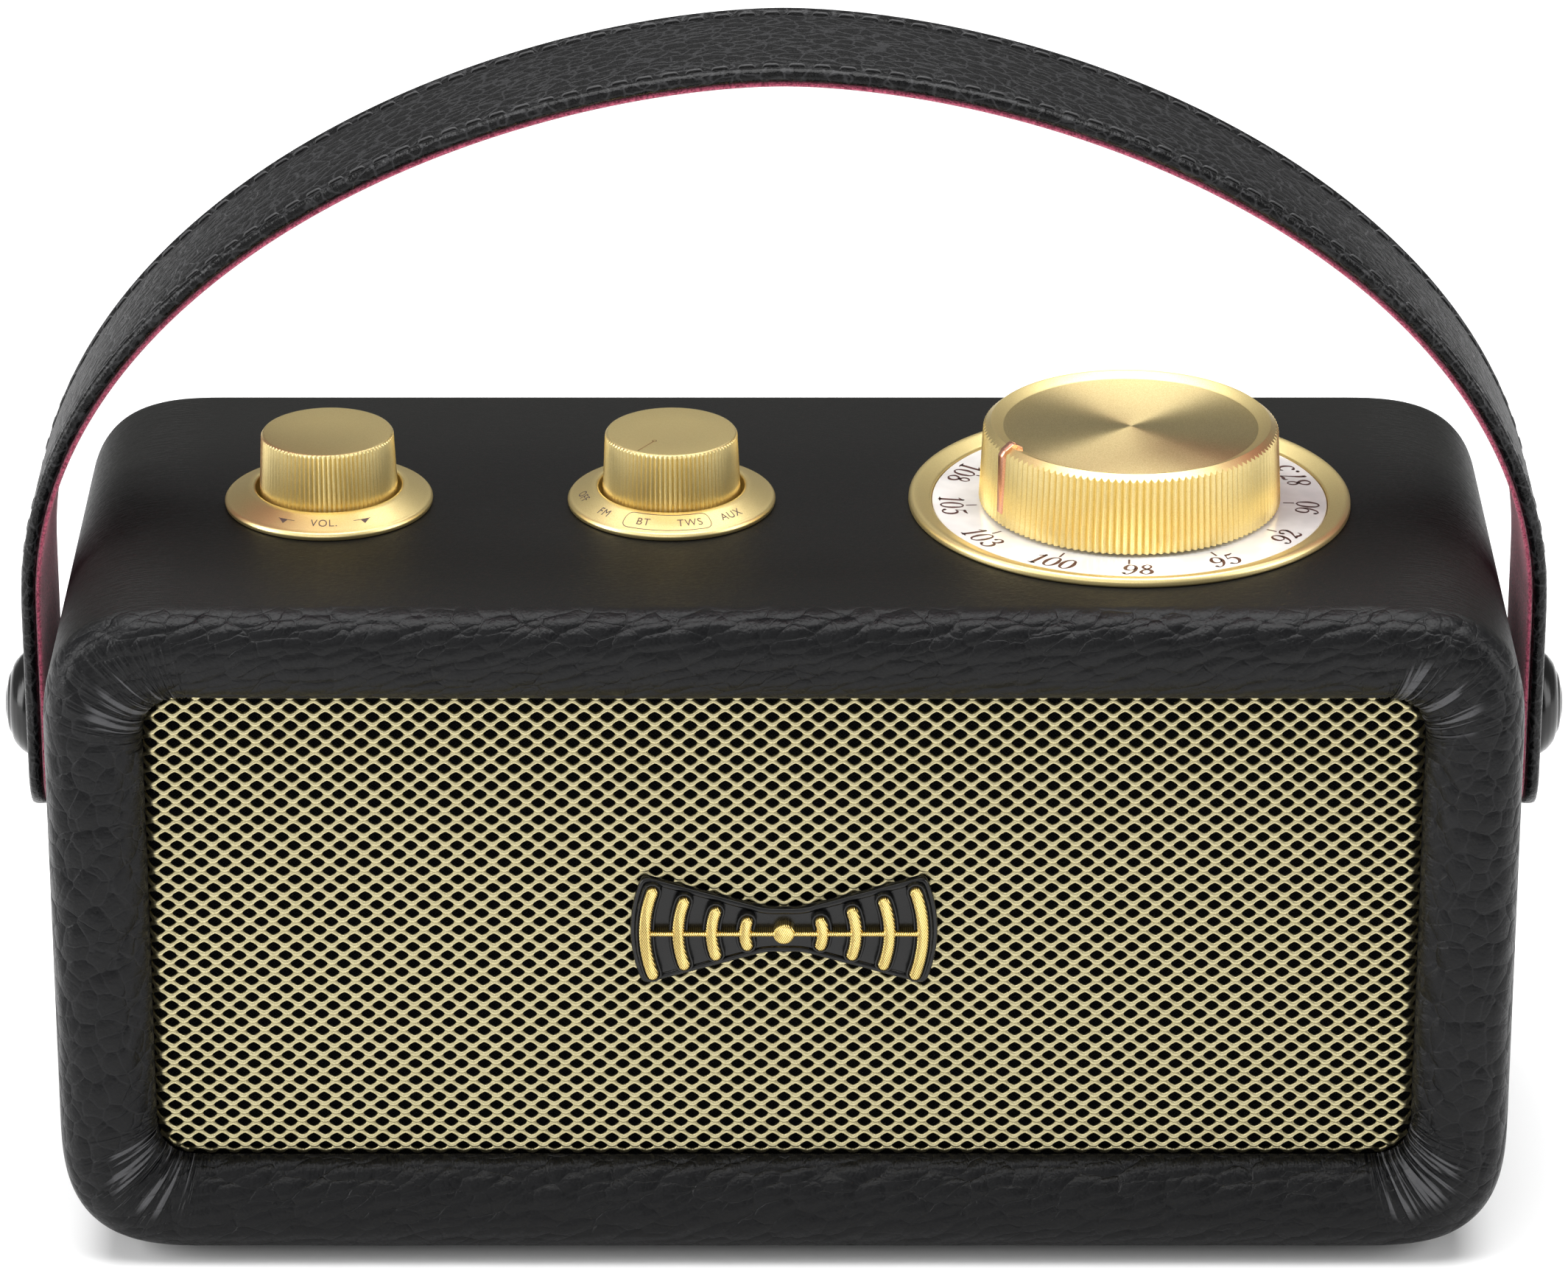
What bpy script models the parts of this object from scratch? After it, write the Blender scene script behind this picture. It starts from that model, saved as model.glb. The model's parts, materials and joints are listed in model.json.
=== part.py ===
"""Leather portable radio: a leather-covered table radio with a carrying strap, metres, +Z up.

Frame: the origin is at the bottom centre of the whole object, +X is to the right of a person who
faces the grille, the grille faces -Y, and the folded antenna is at +Y.
Depths that start with "from the front" are measured from the cabinet's front plane towards +Y.
Heights of the controls are measured from the top of the leather.
"""

import math

import bmesh
import bpy
from mathutils import Matrix, Vector

# --- Driving dimensions ---------------------------------------------------------------------
BODY_W = 0.158
BODY_D = 0.066
BODY_H = 0.076
FOOT_H = 0.0012
ANTENNA_PROUD = 0.0057
GAP = 0.0003

FRONT_Y = -(BODY_D + ANTENNA_PROUD) / 2
REAR_Y = FRONT_Y + BODY_D
TOP_Z = FOOT_H + BODY_H
MID_Z = FOOT_H + BODY_H / 2

# Cabinet outline: a rectangle whose corners are superellipse quarters
CORNER_REACH = 0.0164
CORNER_POWER = 3.1
CORNER_STEPS = 5

# Leather cover, padding, shell and what closes the front and the back
LEATHER_T = 0.0009
SHELL_OUT = LEATHER_T + GAP
SHELL_IN = 0.0038
OPENING_INSET = 0.0105
FLANGE_FRONT = 0.0048
FLANGE_BACK = 0.0070
FLANGE_INSET = 0.0090
GRILLE_INSET = 0.0094
GRILLE_FRONT = 0.0049
GRILLE_T = 0.0007
CLOTH_T = 0.0004
BAFFLE_T = 0.0024
BAFFLE_FRONT = FLANGE_BACK + GAP
REAR_PANEL_INSET = 0.0053
REAR_PANEL_BACK = BODY_D - 0.0012
REAR_PANEL_T = 0.0022

# Controls
CONTROL_Y = FRONT_Y + 0.033
VOLUME_X = -0.0498
FUNCTION_X = -0.0123
TUNING_X = 0.0378
SMALL_BEZEL_R = 0.0114
SMALL_WELL_R = 0.0080
SMALL_KNOB_R = 0.0073
SMALL_KNOB_BASE_R = 0.0076
SMALL_KNOB_TOP = 0.0083
TUNING_BEZEL_R = 0.0242
DIAL_R = 0.0216
TUNING_PAN_R = DIAL_R + GAP + 0.0005
TUNING_KNOB_R = 0.0161
TUNING_KNOB_BASE_R = 0.0165
TUNING_KNOB_TOP = 0.0095
POINTER_ANGLE = math.radians(61)
POINTER_PROUD = 0.0005
POINTER_W = 0.0011
SHAFT_R = 0.0025
BUSHING_R = 0.0035
POT_R = 0.0080
POT_H = 0.0070

# Strap: its outer face is a superellipse arch that runs into straight legs
STRAP_Y = FRONT_Y + 0.033
STRAP_W = 0.021
STRAP_HALF_SPAN = 0.0829
STRAP_SHOULDER_Z = FOOT_H + 0.0679
STRAP_RISE = 0.0616
STRAP_BULGE = 1.13
STRAP_PIVOT_Z = FOOT_H + 0.052
STRAP_TAIL = 0.0100
STRAP_LEATHER_T = 0.0015
STRAP_LINING_T = 0.0005
BUTTON_R = 0.0059
BUTTON_T = 0.0033
PIN_R = 0.0020

# Loudspeaker
DRIVER_R = 0.0285
CONE_R = 0.0215
MAGNET_R = 0.0190
SPEAKER_OPENING_R = 0.0250

# Telescopic antenna, folded along the back towards -X
ANTENNA_X = 0.057
ANTENNA_Z = FOOT_H + 0.0655
ANTENNA_Y = REAR_Y + ANTENNA_PROUD - 0.0025
TUBE_RADII = (0.0025, 0.00185, 0.0012, 0.00065)
TUBE_BORES = (0.00215, 0.0015, 0.00095, 0.0)
TUBE_LENGTH = 0.0980

# Facets round a turned piece
WIDE_STEPS = 40
ROUND_STEPS = 28
SMALL_STEPS = 16

# --- Materials: colour, roughness, metallic --------------------------------------------------
FINISHES = {
    "leather": ((0.020, 0.020, 0.021), 0.55, 0.0),
    "strap_leather": ((0.016, 0.016, 0.017), 0.50, 0.0),
    "felt": ((0.55, 0.08, 0.14), 0.95, 0.0),
    "foam": ((0.10, 0.10, 0.11), 0.95, 0.0),
    "shell_plastic": ((0.035, 0.035, 0.038), 0.60, 0.0),
    "board": ((0.42, 0.30, 0.18), 0.80, 0.0),
    "gold": ((0.75, 0.58, 0.27), 0.35, 1.0),
    "grille_gold": ((0.72, 0.62, 0.38), 0.45, 1.0),
    "cloth": ((0.012, 0.012, 0.012), 0.95, 0.0),
    "dial_white": ((0.86, 0.86, 0.84), 0.20, 0.0),
    "copper": ((0.80, 0.42, 0.25), 0.35, 1.0),
    "gloss_black": ((0.010, 0.010, 0.010), 0.12, 0.0),
    "steel": ((0.55, 0.55, 0.57), 0.35, 1.0),
    "chrome": ((0.80, 0.80, 0.82), 0.12, 1.0),
    "brass": ((0.70, 0.52, 0.24), 0.35, 1.0),
    "ferrite": ((0.05, 0.05, 0.055), 0.60, 0.0),
    "cone_paper": ((0.06, 0.06, 0.06), 0.90, 0.0),
    "rubber": ((0.03, 0.03, 0.03), 0.85, 0.0),
    "circuit_board": ((0.02, 0.16, 0.07), 0.45, 0.0),
    "battery_wrap": ((0.08, 0.22, 0.48), 0.35, 0.0),
}


# --- Scene helpers ---------------------------------------------------------------------------
def clear_scene():
    for obj in list(bpy.data.objects):
        bpy.data.objects.remove(obj, do_unlink=True)


def new_collection(name):
    collection = bpy.data.collections.new(name)
    bpy.context.scene.collection.children.link(collection)
    return collection


def make_material(finish, name):
    colour, roughness, metallic = FINISHES[finish]
    material = bpy.data.materials.new(name)
    material.use_nodes = True
    shader = material.node_tree.nodes["Principled BSDF"]
    shader.inputs["Base Color"].default_value = (*colour, 1.0)
    shader.inputs["Roughness"].default_value = roughness
    shader.inputs["Metallic"].default_value = metallic
    material.diffuse_color = (*colour, 1.0)
    return material


def add_part(name, mesh, finish, place=None, parent=None):
    """An object of its own, with its own material, at place (a matrix or a position)."""
    obj = bpy.data.objects.new(name, mesh)
    PARTS.objects.link(obj)
    mesh.materials.append(make_material(finish, name))
    matrix = place if isinstance(place, Matrix) else Matrix.Translation(place or (0, 0, 0))
    if parent is not None:
        obj.parent = parent
        obj.matrix_parent_inverse = parent.matrix_world.inverted()
    obj.matrix_world = matrix
    return obj


def add_cutter(name, mesh, place=None):
    obj = bpy.data.objects.new(name, mesh)
    CUTTERS.objects.link(obj)
    obj.hide_render = True
    obj.display_type = "WIRE"
    obj.matrix_world = place if isinstance(place, Matrix) else Matrix.Translation(place or (0, 0, 0))
    return obj


def add_pivot(name, position):
    """An empty on a joint's axis, which carries the pieces that move with it."""
    empty = bpy.data.objects.new(name, None)
    empty.empty_display_size = 0.01
    PARTS.objects.link(empty)
    empty.matrix_world = Matrix.Translation(position)
    return empty


def combine(obj, cutter, operation="DIFFERENCE"):
    modifier = obj.modifiers.new(f"{operation.title()} {cutter.name}", "BOOLEAN")
    modifier.operation = operation
    modifier.object = cutter


def bevel(obj, width, segments=2):
    modifier = obj.modifiers.new("Rounded edges", "BEVEL")
    modifier.width = width
    modifier.segments = segments
    modifier.limit_method = "ANGLE"


def turned_towards(axis):
    """Turns +Z to the named axis."""
    return Vector((0, 0, 1)).rotation_difference(Vector(axis)).to_matrix().to_4x4()


# --- Mesh helpers ----------------------------------------------------------------------------
def box_mesh(name, size):
    mesh = bpy.data.meshes.new(name)
    bm = bmesh.new()
    bmesh.ops.create_cube(bm, size=1.0)
    bmesh.ops.scale(bm, vec=size, verts=bm.verts)
    bm.to_mesh(mesh)
    bm.free()
    return mesh


def cylinder_mesh(name, radius, length, segments=ROUND_STEPS):
    mesh = bpy.data.meshes.new(name)
    bm = bmesh.new()
    bmesh.ops.create_cone(
        bm, cap_ends=True, segments=segments, radius1=radius, radius2=radius, depth=length
    )
    bm.to_mesh(mesh)
    bm.free()
    return mesh


def profile_mesh(name, points, closed):
    """The edges of a turned piece's profile, in the XZ plane."""
    mesh = bpy.data.meshes.new(name)
    edges = [(i, i + 1) for i in range(len(points) - 1)]
    if closed:
        edges.append((len(points) - 1, 0))
    mesh.from_pydata([(r, 0, z) for r, z in points], edges, [])
    return mesh


def screw(obj, steps):
    modifier = obj.modifiers.new("Turned", "SCREW")
    modifier.steps = steps
    modifier.render_steps = steps
    modifier.use_merge_vertices = True
    modifier.merge_threshold = 0.00001
    modifier.use_smooth_shade = False


def add_turned(
    name, points, finish, position, axis=(0, 0, 1), steps=ROUND_STEPS, closed=False, parent=None
):
    """A turned piece; its profile runs down the outer side, from the top to the bottom."""
    place = Matrix.Translation(position) @ turned_towards(axis)
    obj = add_part(name, profile_mesh(name, points, closed), finish, place, parent)
    screw(obj, steps)
    return obj


def loft_mesh(name, loops, wrap):
    """Quads between loops of the same number of points; wrap joins the last loop to the first."""
    mesh = bpy.data.meshes.new(name)
    bm = bmesh.new()
    rows = [[bm.verts.new(point) for point in loop] for loop in loops]
    count = len(rows[0])
    pairs = list(zip(rows, rows[1:]))
    if wrap:
        pairs.append((rows[-1], rows[0]))
    for near, far in pairs:
        for i in range(count):
            j = (i + 1) % count
            bm.faces.new((near[i], near[j], far[j], far[i]))
    if not wrap:
        bm.faces.new(reversed(rows[0]))
        bm.faces.new(rows[-1])
    bmesh.ops.recalc_face_normals(bm, faces=bm.faces)
    if bm.calc_volume(signed=True) < 0:
        bmesh.ops.reverse_faces(bm, faces=bm.faces)
    bm.to_mesh(mesh)
    bm.free()
    return mesh


def prism_mesh(name, outline, depth):
    """A flat outline in XZ, given as (x, z) points, thickened along Y by depth about y = 0."""
    front = [(x, -depth / 2, z) for x, z in outline]
    back = [(x, depth / 2, z) for x, z in outline]
    return loft_mesh(name, [front, back], wrap=False)


# --- The cabinet's outline -------------------------------------------------------------------
def corner_point(reach, turn):
    exponent = 2 / CORNER_POWER
    return reach * abs(math.cos(turn)) ** exponent, reach * abs(math.sin(turn)) ** exponent


def outline(inset):
    """The cabinet's rounded rectangle moved in by inset, as (x, z), anticlockwise from the right."""
    reach = CORNER_REACH - inset
    centre_x = BODY_W / 2 - CORNER_REACH
    centre_z = BODY_H / 2 - CORNER_REACH
    points = []
    for sign_x, sign_z in ((1, 1), (-1, 1), (-1, -1), (1, -1)):
        quarter = []
        for step in range(CORNER_STEPS + 1):
            dx, dz = corner_point(reach, math.pi / 2 * step / CORNER_STEPS)
            quarter.append((sign_x * (centre_x + dx), MID_Z + sign_z * (centre_z + dz)))
        if sign_x * sign_z < 0:
            quarter.reverse()
        points.extend(quarter)
    return points


def section(inset, depth):
    return [(x, FRONT_Y + depth, z) for x, z in outline(inset)]


def ring_mesh(name, profile):
    """A frame that follows the cabinet's outline; its profile is a loop of (inset, depth)."""
    return loft_mesh(name, [section(inset, depth) for inset, depth in profile], wrap=True)


def plate_mesh(name, inset, depth, thickness):
    return loft_mesh(name, [section(inset, depth), section(inset, depth + thickness)], wrap=False)


def offset_path(path, distance):
    """The path moved to its left by distance, with mitred corners."""
    moved = []
    for i, point in enumerate(path):
        before = Vector(path[max(i - 1, 0)])
        after = Vector(path[min(i + 1, len(path) - 1)])
        here = Vector(point)
        directions = [v.normalized() for v in (here - before, after - here) if v.length > 0]
        normals = [Vector((-v.y, v.x)) for v in directions]
        normal = sum(normals, Vector((0, 0))).normalized()
        moved.append(tuple(here + normal * (distance / normal.dot(normals[0]))))
    return moved


# --- Cabinet ---------------------------------------------------------------------------------
COVER_PATH = [
    (0.0050, BODY_D - 0.0024),
    (0.0048, BODY_D - 0.0009),
    (0.0039, BODY_D - 0.0002),
    (0.0026, BODY_D),
    (0.0012, BODY_D - 0.0004),
    (0.0003, BODY_D - 0.0015),
    (0.0, BODY_D - 0.0032),
    (0.0, 0.0042),
    (0.0003, 0.0026),
    (0.0011, 0.0011),
    (0.0023, 0.0003),
    (0.0039, 0.0),
    (0.0059, 0.0002),
    (0.0079, 0.0008),
    (0.0094, 0.0019),
    (0.0103, 0.0032),
    (OPENING_INSET, 0.0046),
]
PADDING_PATH = [
    (0.0021, 0.0024),
    (0.0029, 0.0016),
    (0.0041, 0.0013),
    (0.0058, 0.0014),
    (0.0074, 0.0020),
    (0.0086, 0.0028),
    (0.0091, 0.0036),
    (0.0091, FLANGE_FRONT - GAP),
    (0.0021, FLANGE_FRONT - GAP),
]
SHELL_PATH = [
    (SHELL_OUT, FLANGE_FRONT),
    (FLANGE_INSET, FLANGE_FRONT),
    (FLANGE_INSET, FLANGE_BACK),
    (SHELL_IN, FLANGE_BACK),
    (SHELL_IN, BODY_D - 0.0026),
    (SHELL_OUT, BODY_D - 0.0026),
]
POST_X = BODY_W / 2 - 0.0100
POST_Z = BODY_H / 2 - 0.0100
POST_R = 0.0056
POST_START = BAFFLE_FRONT + BAFFLE_T + GAP
POST_END = REAR_PANEL_BACK - REAR_PANEL_T - GAP
SCREW_HOLE_R = 0.0013
SCREW_HOLE_DEPTH = 0.0095
SCREW_HOLE_LENGTH = 0.0100
WELL_CUT_Z = TOP_Z - 0.001


def corners():
    """A name and the signs in X and Z of each corner, as seen from the front."""
    return (
        ("top_right", 1, 1),
        ("top_left", -1, 1),
        ("bottom_left", -1, -1),
        ("bottom_right", 1, -1),
    )


def add_cabinet():
    shell = add_part("cabinet_shell", ring_mesh("cabinet_shell", SHELL_PATH), "shell_plastic")
    length = POST_END - POST_START
    for name, sign_x, sign_z in corners():
        middle = (sign_x * POST_X, FRONT_Y + (POST_START + POST_END) / 2, MID_Z + sign_z * POST_Z)
        place = Matrix.Translation(middle) @ turned_towards((0, 1, 0))
        post = add_cutter(f"post_{name}", cylinder_mesh("post", POST_R, length, 20), place)
        combine(shell, post, "UNION")
        bore_middle = length / 2 - SCREW_HOLE_DEPTH + SCREW_HOLE_LENGTH / 2
        bore_place = Matrix.Translation((0, bore_middle, 0)) @ place
        bore_mesh = cylinder_mesh("bore", SCREW_HOLE_R, SCREW_HOLE_LENGTH, 12)
        bore = add_cutter(f"bore_{name}", bore_mesh, bore_place)
        combine(shell, bore)
    cover_path = COVER_PATH + list(reversed(offset_path(COVER_PATH, LEATHER_T)))
    cover = add_part("leather_cover", ring_mesh("leather_cover", cover_path), "leather")
    add_part("front_padding", ring_mesh("front_padding", PADDING_PATH), "foam")
    for name, x in (("volume", VOLUME_X), ("function", FUNCTION_X), ("tuning", TUNING_X)):
        hole = add_cutter(
            f"shell_hole_{name}",
            cylinder_mesh("shell_hole", BUSHING_R + GAP, 0.012, 24),
            (x, CONTROL_Y, WELL_CUT_Z),
        )
        combine(shell, hole)
        well_r = TUNING_PAN_R if name == "tuning" else SMALL_WELL_R + 0.0004
        well = add_cutter(
            f"leather_hole_{name}",
            cylinder_mesh("leather_hole", well_r + GAP, 0.004, WIDE_STEPS),
            (x, CONTROL_Y, WELL_CUT_Z),
        )
        combine(cover, well)
    for name, sign in (("left", -1), ("right", 1)):
        side = Matrix.Translation((sign * BODY_W / 2, STRAP_Y, STRAP_PIVOT_Z))
        mesh = cylinder_mesh("side_hole", PIN_R + GAP, 0.012, SMALL_STEPS)
        hole = add_cutter(f"side_hole_{name}", mesh, side @ turned_towards((1, 0, 0)))
        combine(shell, hole)
        combine(cover, hole)


def add_front():
    baffle = add_part(
        "front_baffle", plate_mesh("front_baffle", SHELL_IN + GAP, BAFFLE_FRONT, BAFFLE_T), "board"
    )
    place = Matrix.Translation((0, FRONT_Y + BAFFLE_FRONT, MID_Z)) @ turned_towards((0, 1, 0))
    opening = cylinder_mesh("speaker_hole", SPEAKER_OPENING_R, 0.010, WIDE_STEPS)
    combine(baffle, add_cutter("speaker_hole", opening, place))
    add_part("grille", plate_mesh("grille", GRILLE_INSET, GRILLE_FRONT, GRILLE_T), "grille_gold")
    cloth_front = FLANGE_BACK - CLOTH_T - GAP
    add_part("grille_cloth", plate_mesh("grille_cloth", GRILLE_INSET, cloth_front, CLOTH_T), "cloth")


# --- Badge: a generic broadcast sign, arcs that widen away from the middle -----------------------
BADGE_RADII = (0.0042, 0.0078, 0.0114, 0.0150)
BADGE_SPREAD = math.radians(19)
BADGE_BAR = 0.0013
BADGE_PLATE_T = 0.0009
BADGE_SIGN_T = 0.0008


def arc_bar(radius, side, width, spread):
    """The outline of a curved bar on the left (-1) or right (1) of the middle."""
    steps = 8
    points = []
    for edge, order in ((radius + width / 2, 1), (radius - width / 2, -1)):
        for step in range(steps + 1):
            turn = order * spread * (2 * step / steps - 1)
            points.append((side * edge * math.cos(turn), edge * math.sin(turn)))
    return points


def add_badge():
    front = FRONT_Y + GRILLE_FRONT
    plate_y = front - GAP - BADGE_PLATE_T / 2
    rim = BADGE_RADII[-1] + 0.0016
    spread = BADGE_SPREAD + math.radians(4)
    edge = [(rim * math.cos(a), rim * math.sin(a)) for a in (spread * (s / 4 - 1) for s in range(9))]
    waist = 0.0026
    outline_points = edge + [(0.002, waist), (-0.002, waist)]
    outline_points += [(-x, -z) for x, z in edge] + [(-0.002, -waist), (0.002, -waist)]
    plate = add_part(
        "badge_plate",
        prism_mesh("badge_plate", outline_points, BADGE_PLATE_T),
        "gloss_black",
        (0, plate_y, MID_Z),
    )
    bevel(plate, 0.0002, 1)
    sign_y = plate_y - BADGE_PLATE_T / 2 - GAP - BADGE_SIGN_T / 2
    bar = box_mesh("badge_sign", (2 * BADGE_RADII[-1], BADGE_SIGN_T, 0.0006))
    sign = add_part("badge_sign", bar, "gold", (0, sign_y, MID_Z))
    dot_place = Matrix.Translation((0, sign_y, MID_Z)) @ turned_towards((0, 1, 0))
    dot = add_cutter("badge_dot", cylinder_mesh("badge_dot", 0.0012, BADGE_SIGN_T, 16), dot_place)
    combine(sign, dot, "UNION")
    for side, word in ((-1, "left"), (1, "right")):
        for number, radius in enumerate(BADGE_RADII, 1):
            mesh = prism_mesh("arc", arc_bar(radius, side, BADGE_BAR, BADGE_SPREAD), BADGE_SIGN_T)
            combine(sign, add_cutter(f"arc_{word}_{number}", mesh, (0, sign_y, MID_Z)), "UNION")


# --- Back ------------------------------------------------------------------------------------
SOCKET_Z = FOOT_H + 0.0170
USB_X = -0.0300
AUX_X = -0.0160
USB_W = 0.0089
USB_H = 0.0032
USB_WALL = 0.0003
SOCKET_CUT = 0.0100
BOARD_BACK = REAR_PANEL_BACK - REAR_PANEL_T - 0.0065
BOARD_T = 0.0016


def slot_outline(width, height):
    """A flat-sided slot with round ends."""
    radius = height / 2
    points = []
    for side in (1, -1):
        for step in range(7):
            turn = math.pi * (step / 6 - 0.5)
            across = width / 2 - radius + radius * math.cos(turn)
            points.append((side * across, side * radius * math.sin(turn)))
    return points


def add_back():
    panel = add_part(
        "rear_panel",
        plate_mesh("rear_panel", REAR_PANEL_INSET, REAR_PANEL_BACK - REAR_PANEL_T, REAR_PANEL_T),
        "shell_plastic",
    )
    back = FRONT_Y + REAR_PANEL_BACK
    along_y = turned_towards((0, 1, 0))
    for name, sign_x, sign_z in corners():
        centre = Vector((sign_x * POST_X, back, MID_Z + sign_z * POST_Z))
        sink = Matrix.Translation(centre) @ along_y
        combine(panel, add_cutter(f"screw_sink_{name}", cylinder_mesh("sink", 0.0029, 0.0022, 20), sink))
        combine(panel, add_cutter(f"screw_hole_{name}", cylinder_mesh("hole", 0.0014, 0.0080, 16), sink))
        profile = [
            (0.0, 0.0009),
            (0.0015, 0.0008),
            (0.0026, 0.0002),
            (0.0026, -0.0002),
            (0.0010, -0.0002),
            (0.0010, -0.0085),
            (0.0, -0.0090),
        ]
        add_turned(f"rear_screw_{name}", profile, "steel", centre - Vector((0, 0.0006, 0)), (0, 1, 0), 16)
    usb_place = (USB_X, back, SOCKET_Z)
    usb_cut = prism_mesh("usb_cut", slot_outline(USB_W + 0.0007, USB_H + 0.0007), SOCKET_CUT)
    combine(panel, add_cutter("usb_cut", usb_cut, usb_place))
    aux_place = Matrix.Translation((AUX_X, back, SOCKET_Z)) @ along_y
    combine(panel, add_cutter("aux_cut", cylinder_mesh("aux_cut", 0.0033, SOCKET_CUT, 24), aux_place))
    stem_place = Matrix.Translation((ANTENNA_X, back, ANTENNA_Z)) @ along_y
    combine(panel, add_cutter("stem_cut", cylinder_mesh("stem_cut", 0.0023, SOCKET_CUT, 20), stem_place))

    board_y = FRONT_Y + BOARD_BACK - BOARD_T / 2
    board = box_mesh("main_board", (0.056, BOARD_T, 0.040))
    add_part("main_board", board, "circuit_board", (-0.032, board_y, SOCKET_Z + 0.014))
    reach = back - GAP - (board_y + BOARD_T / 2 + GAP)
    socket_y = back - GAP - reach / 2
    sleeve = prism_mesh("usb_socket", slot_outline(USB_W, USB_H), reach)
    usb = add_part("usb_socket", sleeve, "steel", (USB_X, socket_y, SOCKET_Z))
    inside = slot_outline(USB_W - 2 * USB_WALL, USB_H - 2 * USB_WALL)
    hollow = prism_mesh("usb_hollow", inside, SOCKET_CUT)
    combine(usb, add_cutter("usb_hollow", hollow, usb_place))
    depth = reach - 0.001
    profile = [
        (0.0, -depth),
        (0.0018, -depth),
        (0.0018, 0.0),
        (0.0029, 0.0),
        (0.0030, -0.0003),
        (0.0030, -reach),
        (0.0, -reach),
    ]
    add_turned("aux_socket", profile, "steel", (AUX_X, back - GAP, SOCKET_Z), (0, 1, 0), 24)


# --- Inside ----------------------------------------------------------------------------------
CELL_R = 0.0092
CELL_LENGTH = 0.065
CRADLE_SIZE = (0.056, 0.0220, 0.0090)


def add_power():
    floor = FOOT_H + SHELL_IN
    cell_x = 0.0304
    cell_y = FRONT_Y + 0.0486
    cell_place = Matrix.Translation((cell_x, cell_y, floor + 0.0132)) @ turned_towards((1, 0, 0))
    cell = add_part(
        "battery_cell", cylinder_mesh("battery_cell", CELL_R, CELL_LENGTH), "battery_wrap", cell_place
    )
    bevel(cell, 0.0006, 1)
    cradle_place = (cell_x, cell_y, floor + GAP + CRADLE_SIZE[2] / 2)
    cradle = add_part(
        "battery_cradle", box_mesh("battery_cradle", CRADLE_SIZE), "shell_plastic", cradle_place
    )
    combine(cradle, add_cutter("cell_bed", cylinder_mesh("cell_bed", CELL_R + GAP, 0.080), cell_place))
    add_part(
        "control_board",
        box_mesh("control_board", (0.112, 0.0190, 0.0016)),
        "circuit_board",
        (-0.0060, CONTROL_Y, TOP_Z - SHELL_IN - GAP - POT_H - GAP - 0.0008),
    )


def add_speaker():
    seat = FRONT_Y + BAFFLE_FRONT + BAFFLE_T + GAP
    back = (0, 1, 0)
    centre = (0, seat, MID_Z)
    basket = add_turned(
        "speaker_basket",
        [
            (0.0135, 0.0170),
            (0.0150, 0.0170),
            (0.0262, 0.0040),
            (0.0262, 0.0012),
            (DRIVER_R, 0.0012),
            (DRIVER_R, 0.0),
            (0.0250, 0.0),
            (0.0250, 0.0030),
            (0.0142, 0.0158),
            (0.0100, 0.0158),
            (0.0100, 0.0170),
        ],
        "steel",
        centre,
        back,
        ROUND_STEPS,
        closed=True,
    )
    for number in range(2):
        turn = math.radians(45 + 90 * number)
        middle = Matrix.Translation((0, seat + 0.0095, MID_Z)) @ Matrix.Rotation(turn, 4, "Y")
        window = box_mesh("window", (0.060, 0.0060, 0.0150))
        combine(basket, add_cutter(f"basket_window_{number + 1}", window, middle))
    add_turned(
        "speaker_surround",
        [
            (0.0218, 0.0008),
            (0.0224, -0.0006),
            (0.0233, -0.0010),
            (0.0241, -0.0006),
            (0.0247, 0.0008),
            (0.0247, 0.0013),
            (0.0241, 0.0003),
            (0.0233, -0.0003),
            (0.0225, 0.0003),
            (0.0219, 0.0013),
        ][::-1],
        "rubber",
        centre,
        back,
        ROUND_STEPS,
        closed=True,
    )
    former_r = 0.0080
    add_turned(
        "speaker_cone",
        [
            (0.0, 0.0086),
            (0.0045, 0.0094),
            (former_r, 0.0114),
            (former_r, 0.0215),
            (former_r + 0.0006, 0.0215),
            (former_r + 0.0006, 0.0128),
            (CONE_R, 0.0016),
            (CONE_R, 0.0006),
            (CONE_R - 0.0006, 0.0006),
            (former_r - 0.0004, 0.0106),
            (0.0045, 0.0088),
            (0.0, 0.0080),
        ],
        "cone_paper",
        centre,
        back,
        ROUND_STEPS,
    )
    magnet_front = 0.0173
    add_turned(
        "speaker_magnet",
        [
            (0.0, 0.0290),
            (MAGNET_R, 0.0290),
            (MAGNET_R, magnet_front),
            (0.0091, magnet_front),
            (0.0091, 0.0230),
            (0.0075, 0.0230),
            (0.0075, magnet_front - 0.0010),
            (0.0, magnet_front - 0.0010),
        ],
        "ferrite",
        centre,
        back,
        SMALL_STEPS + 8,
    )


def add_feet():
    for depth, row in ((0.0120, "front"), (BODY_D - 0.0120, "rear")):
        for side, x in (("left", -0.062), ("right", 0.062)):
            height = FOOT_H - GAP
            foot = add_part(
                f"foot_{row}_{side}",
                cylinder_mesh("foot", 0.0050, height, SMALL_STEPS),
                "rubber",
                (x, FRONT_Y + depth, height / 2),
            )
            bevel(foot, 0.0002, 1)


# --- Controls --------------------------------------------------------------------------------
SHELL_TOP = -SHELL_OUT
SHELL_UNDER = -SHELL_IN


def add_pot(name, x, bushing_top):
    """The body of a control under the shell's top, its threaded bushing and a blind bore."""
    top = SHELL_UNDER - GAP
    profile = [
        (0.0, top - 0.0055),
        (SHAFT_R + GAP, top - 0.0055),
        (SHAFT_R + GAP, bushing_top),
        (BUSHING_R, bushing_top),
        (BUSHING_R, top),
        (POT_R, top),
        (POT_R, top - POT_H),
        (0.0, top - POT_H),
    ]
    add_turned(name, profile, "steel", (x, CONTROL_Y, TOP_Z), steps=20)


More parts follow.
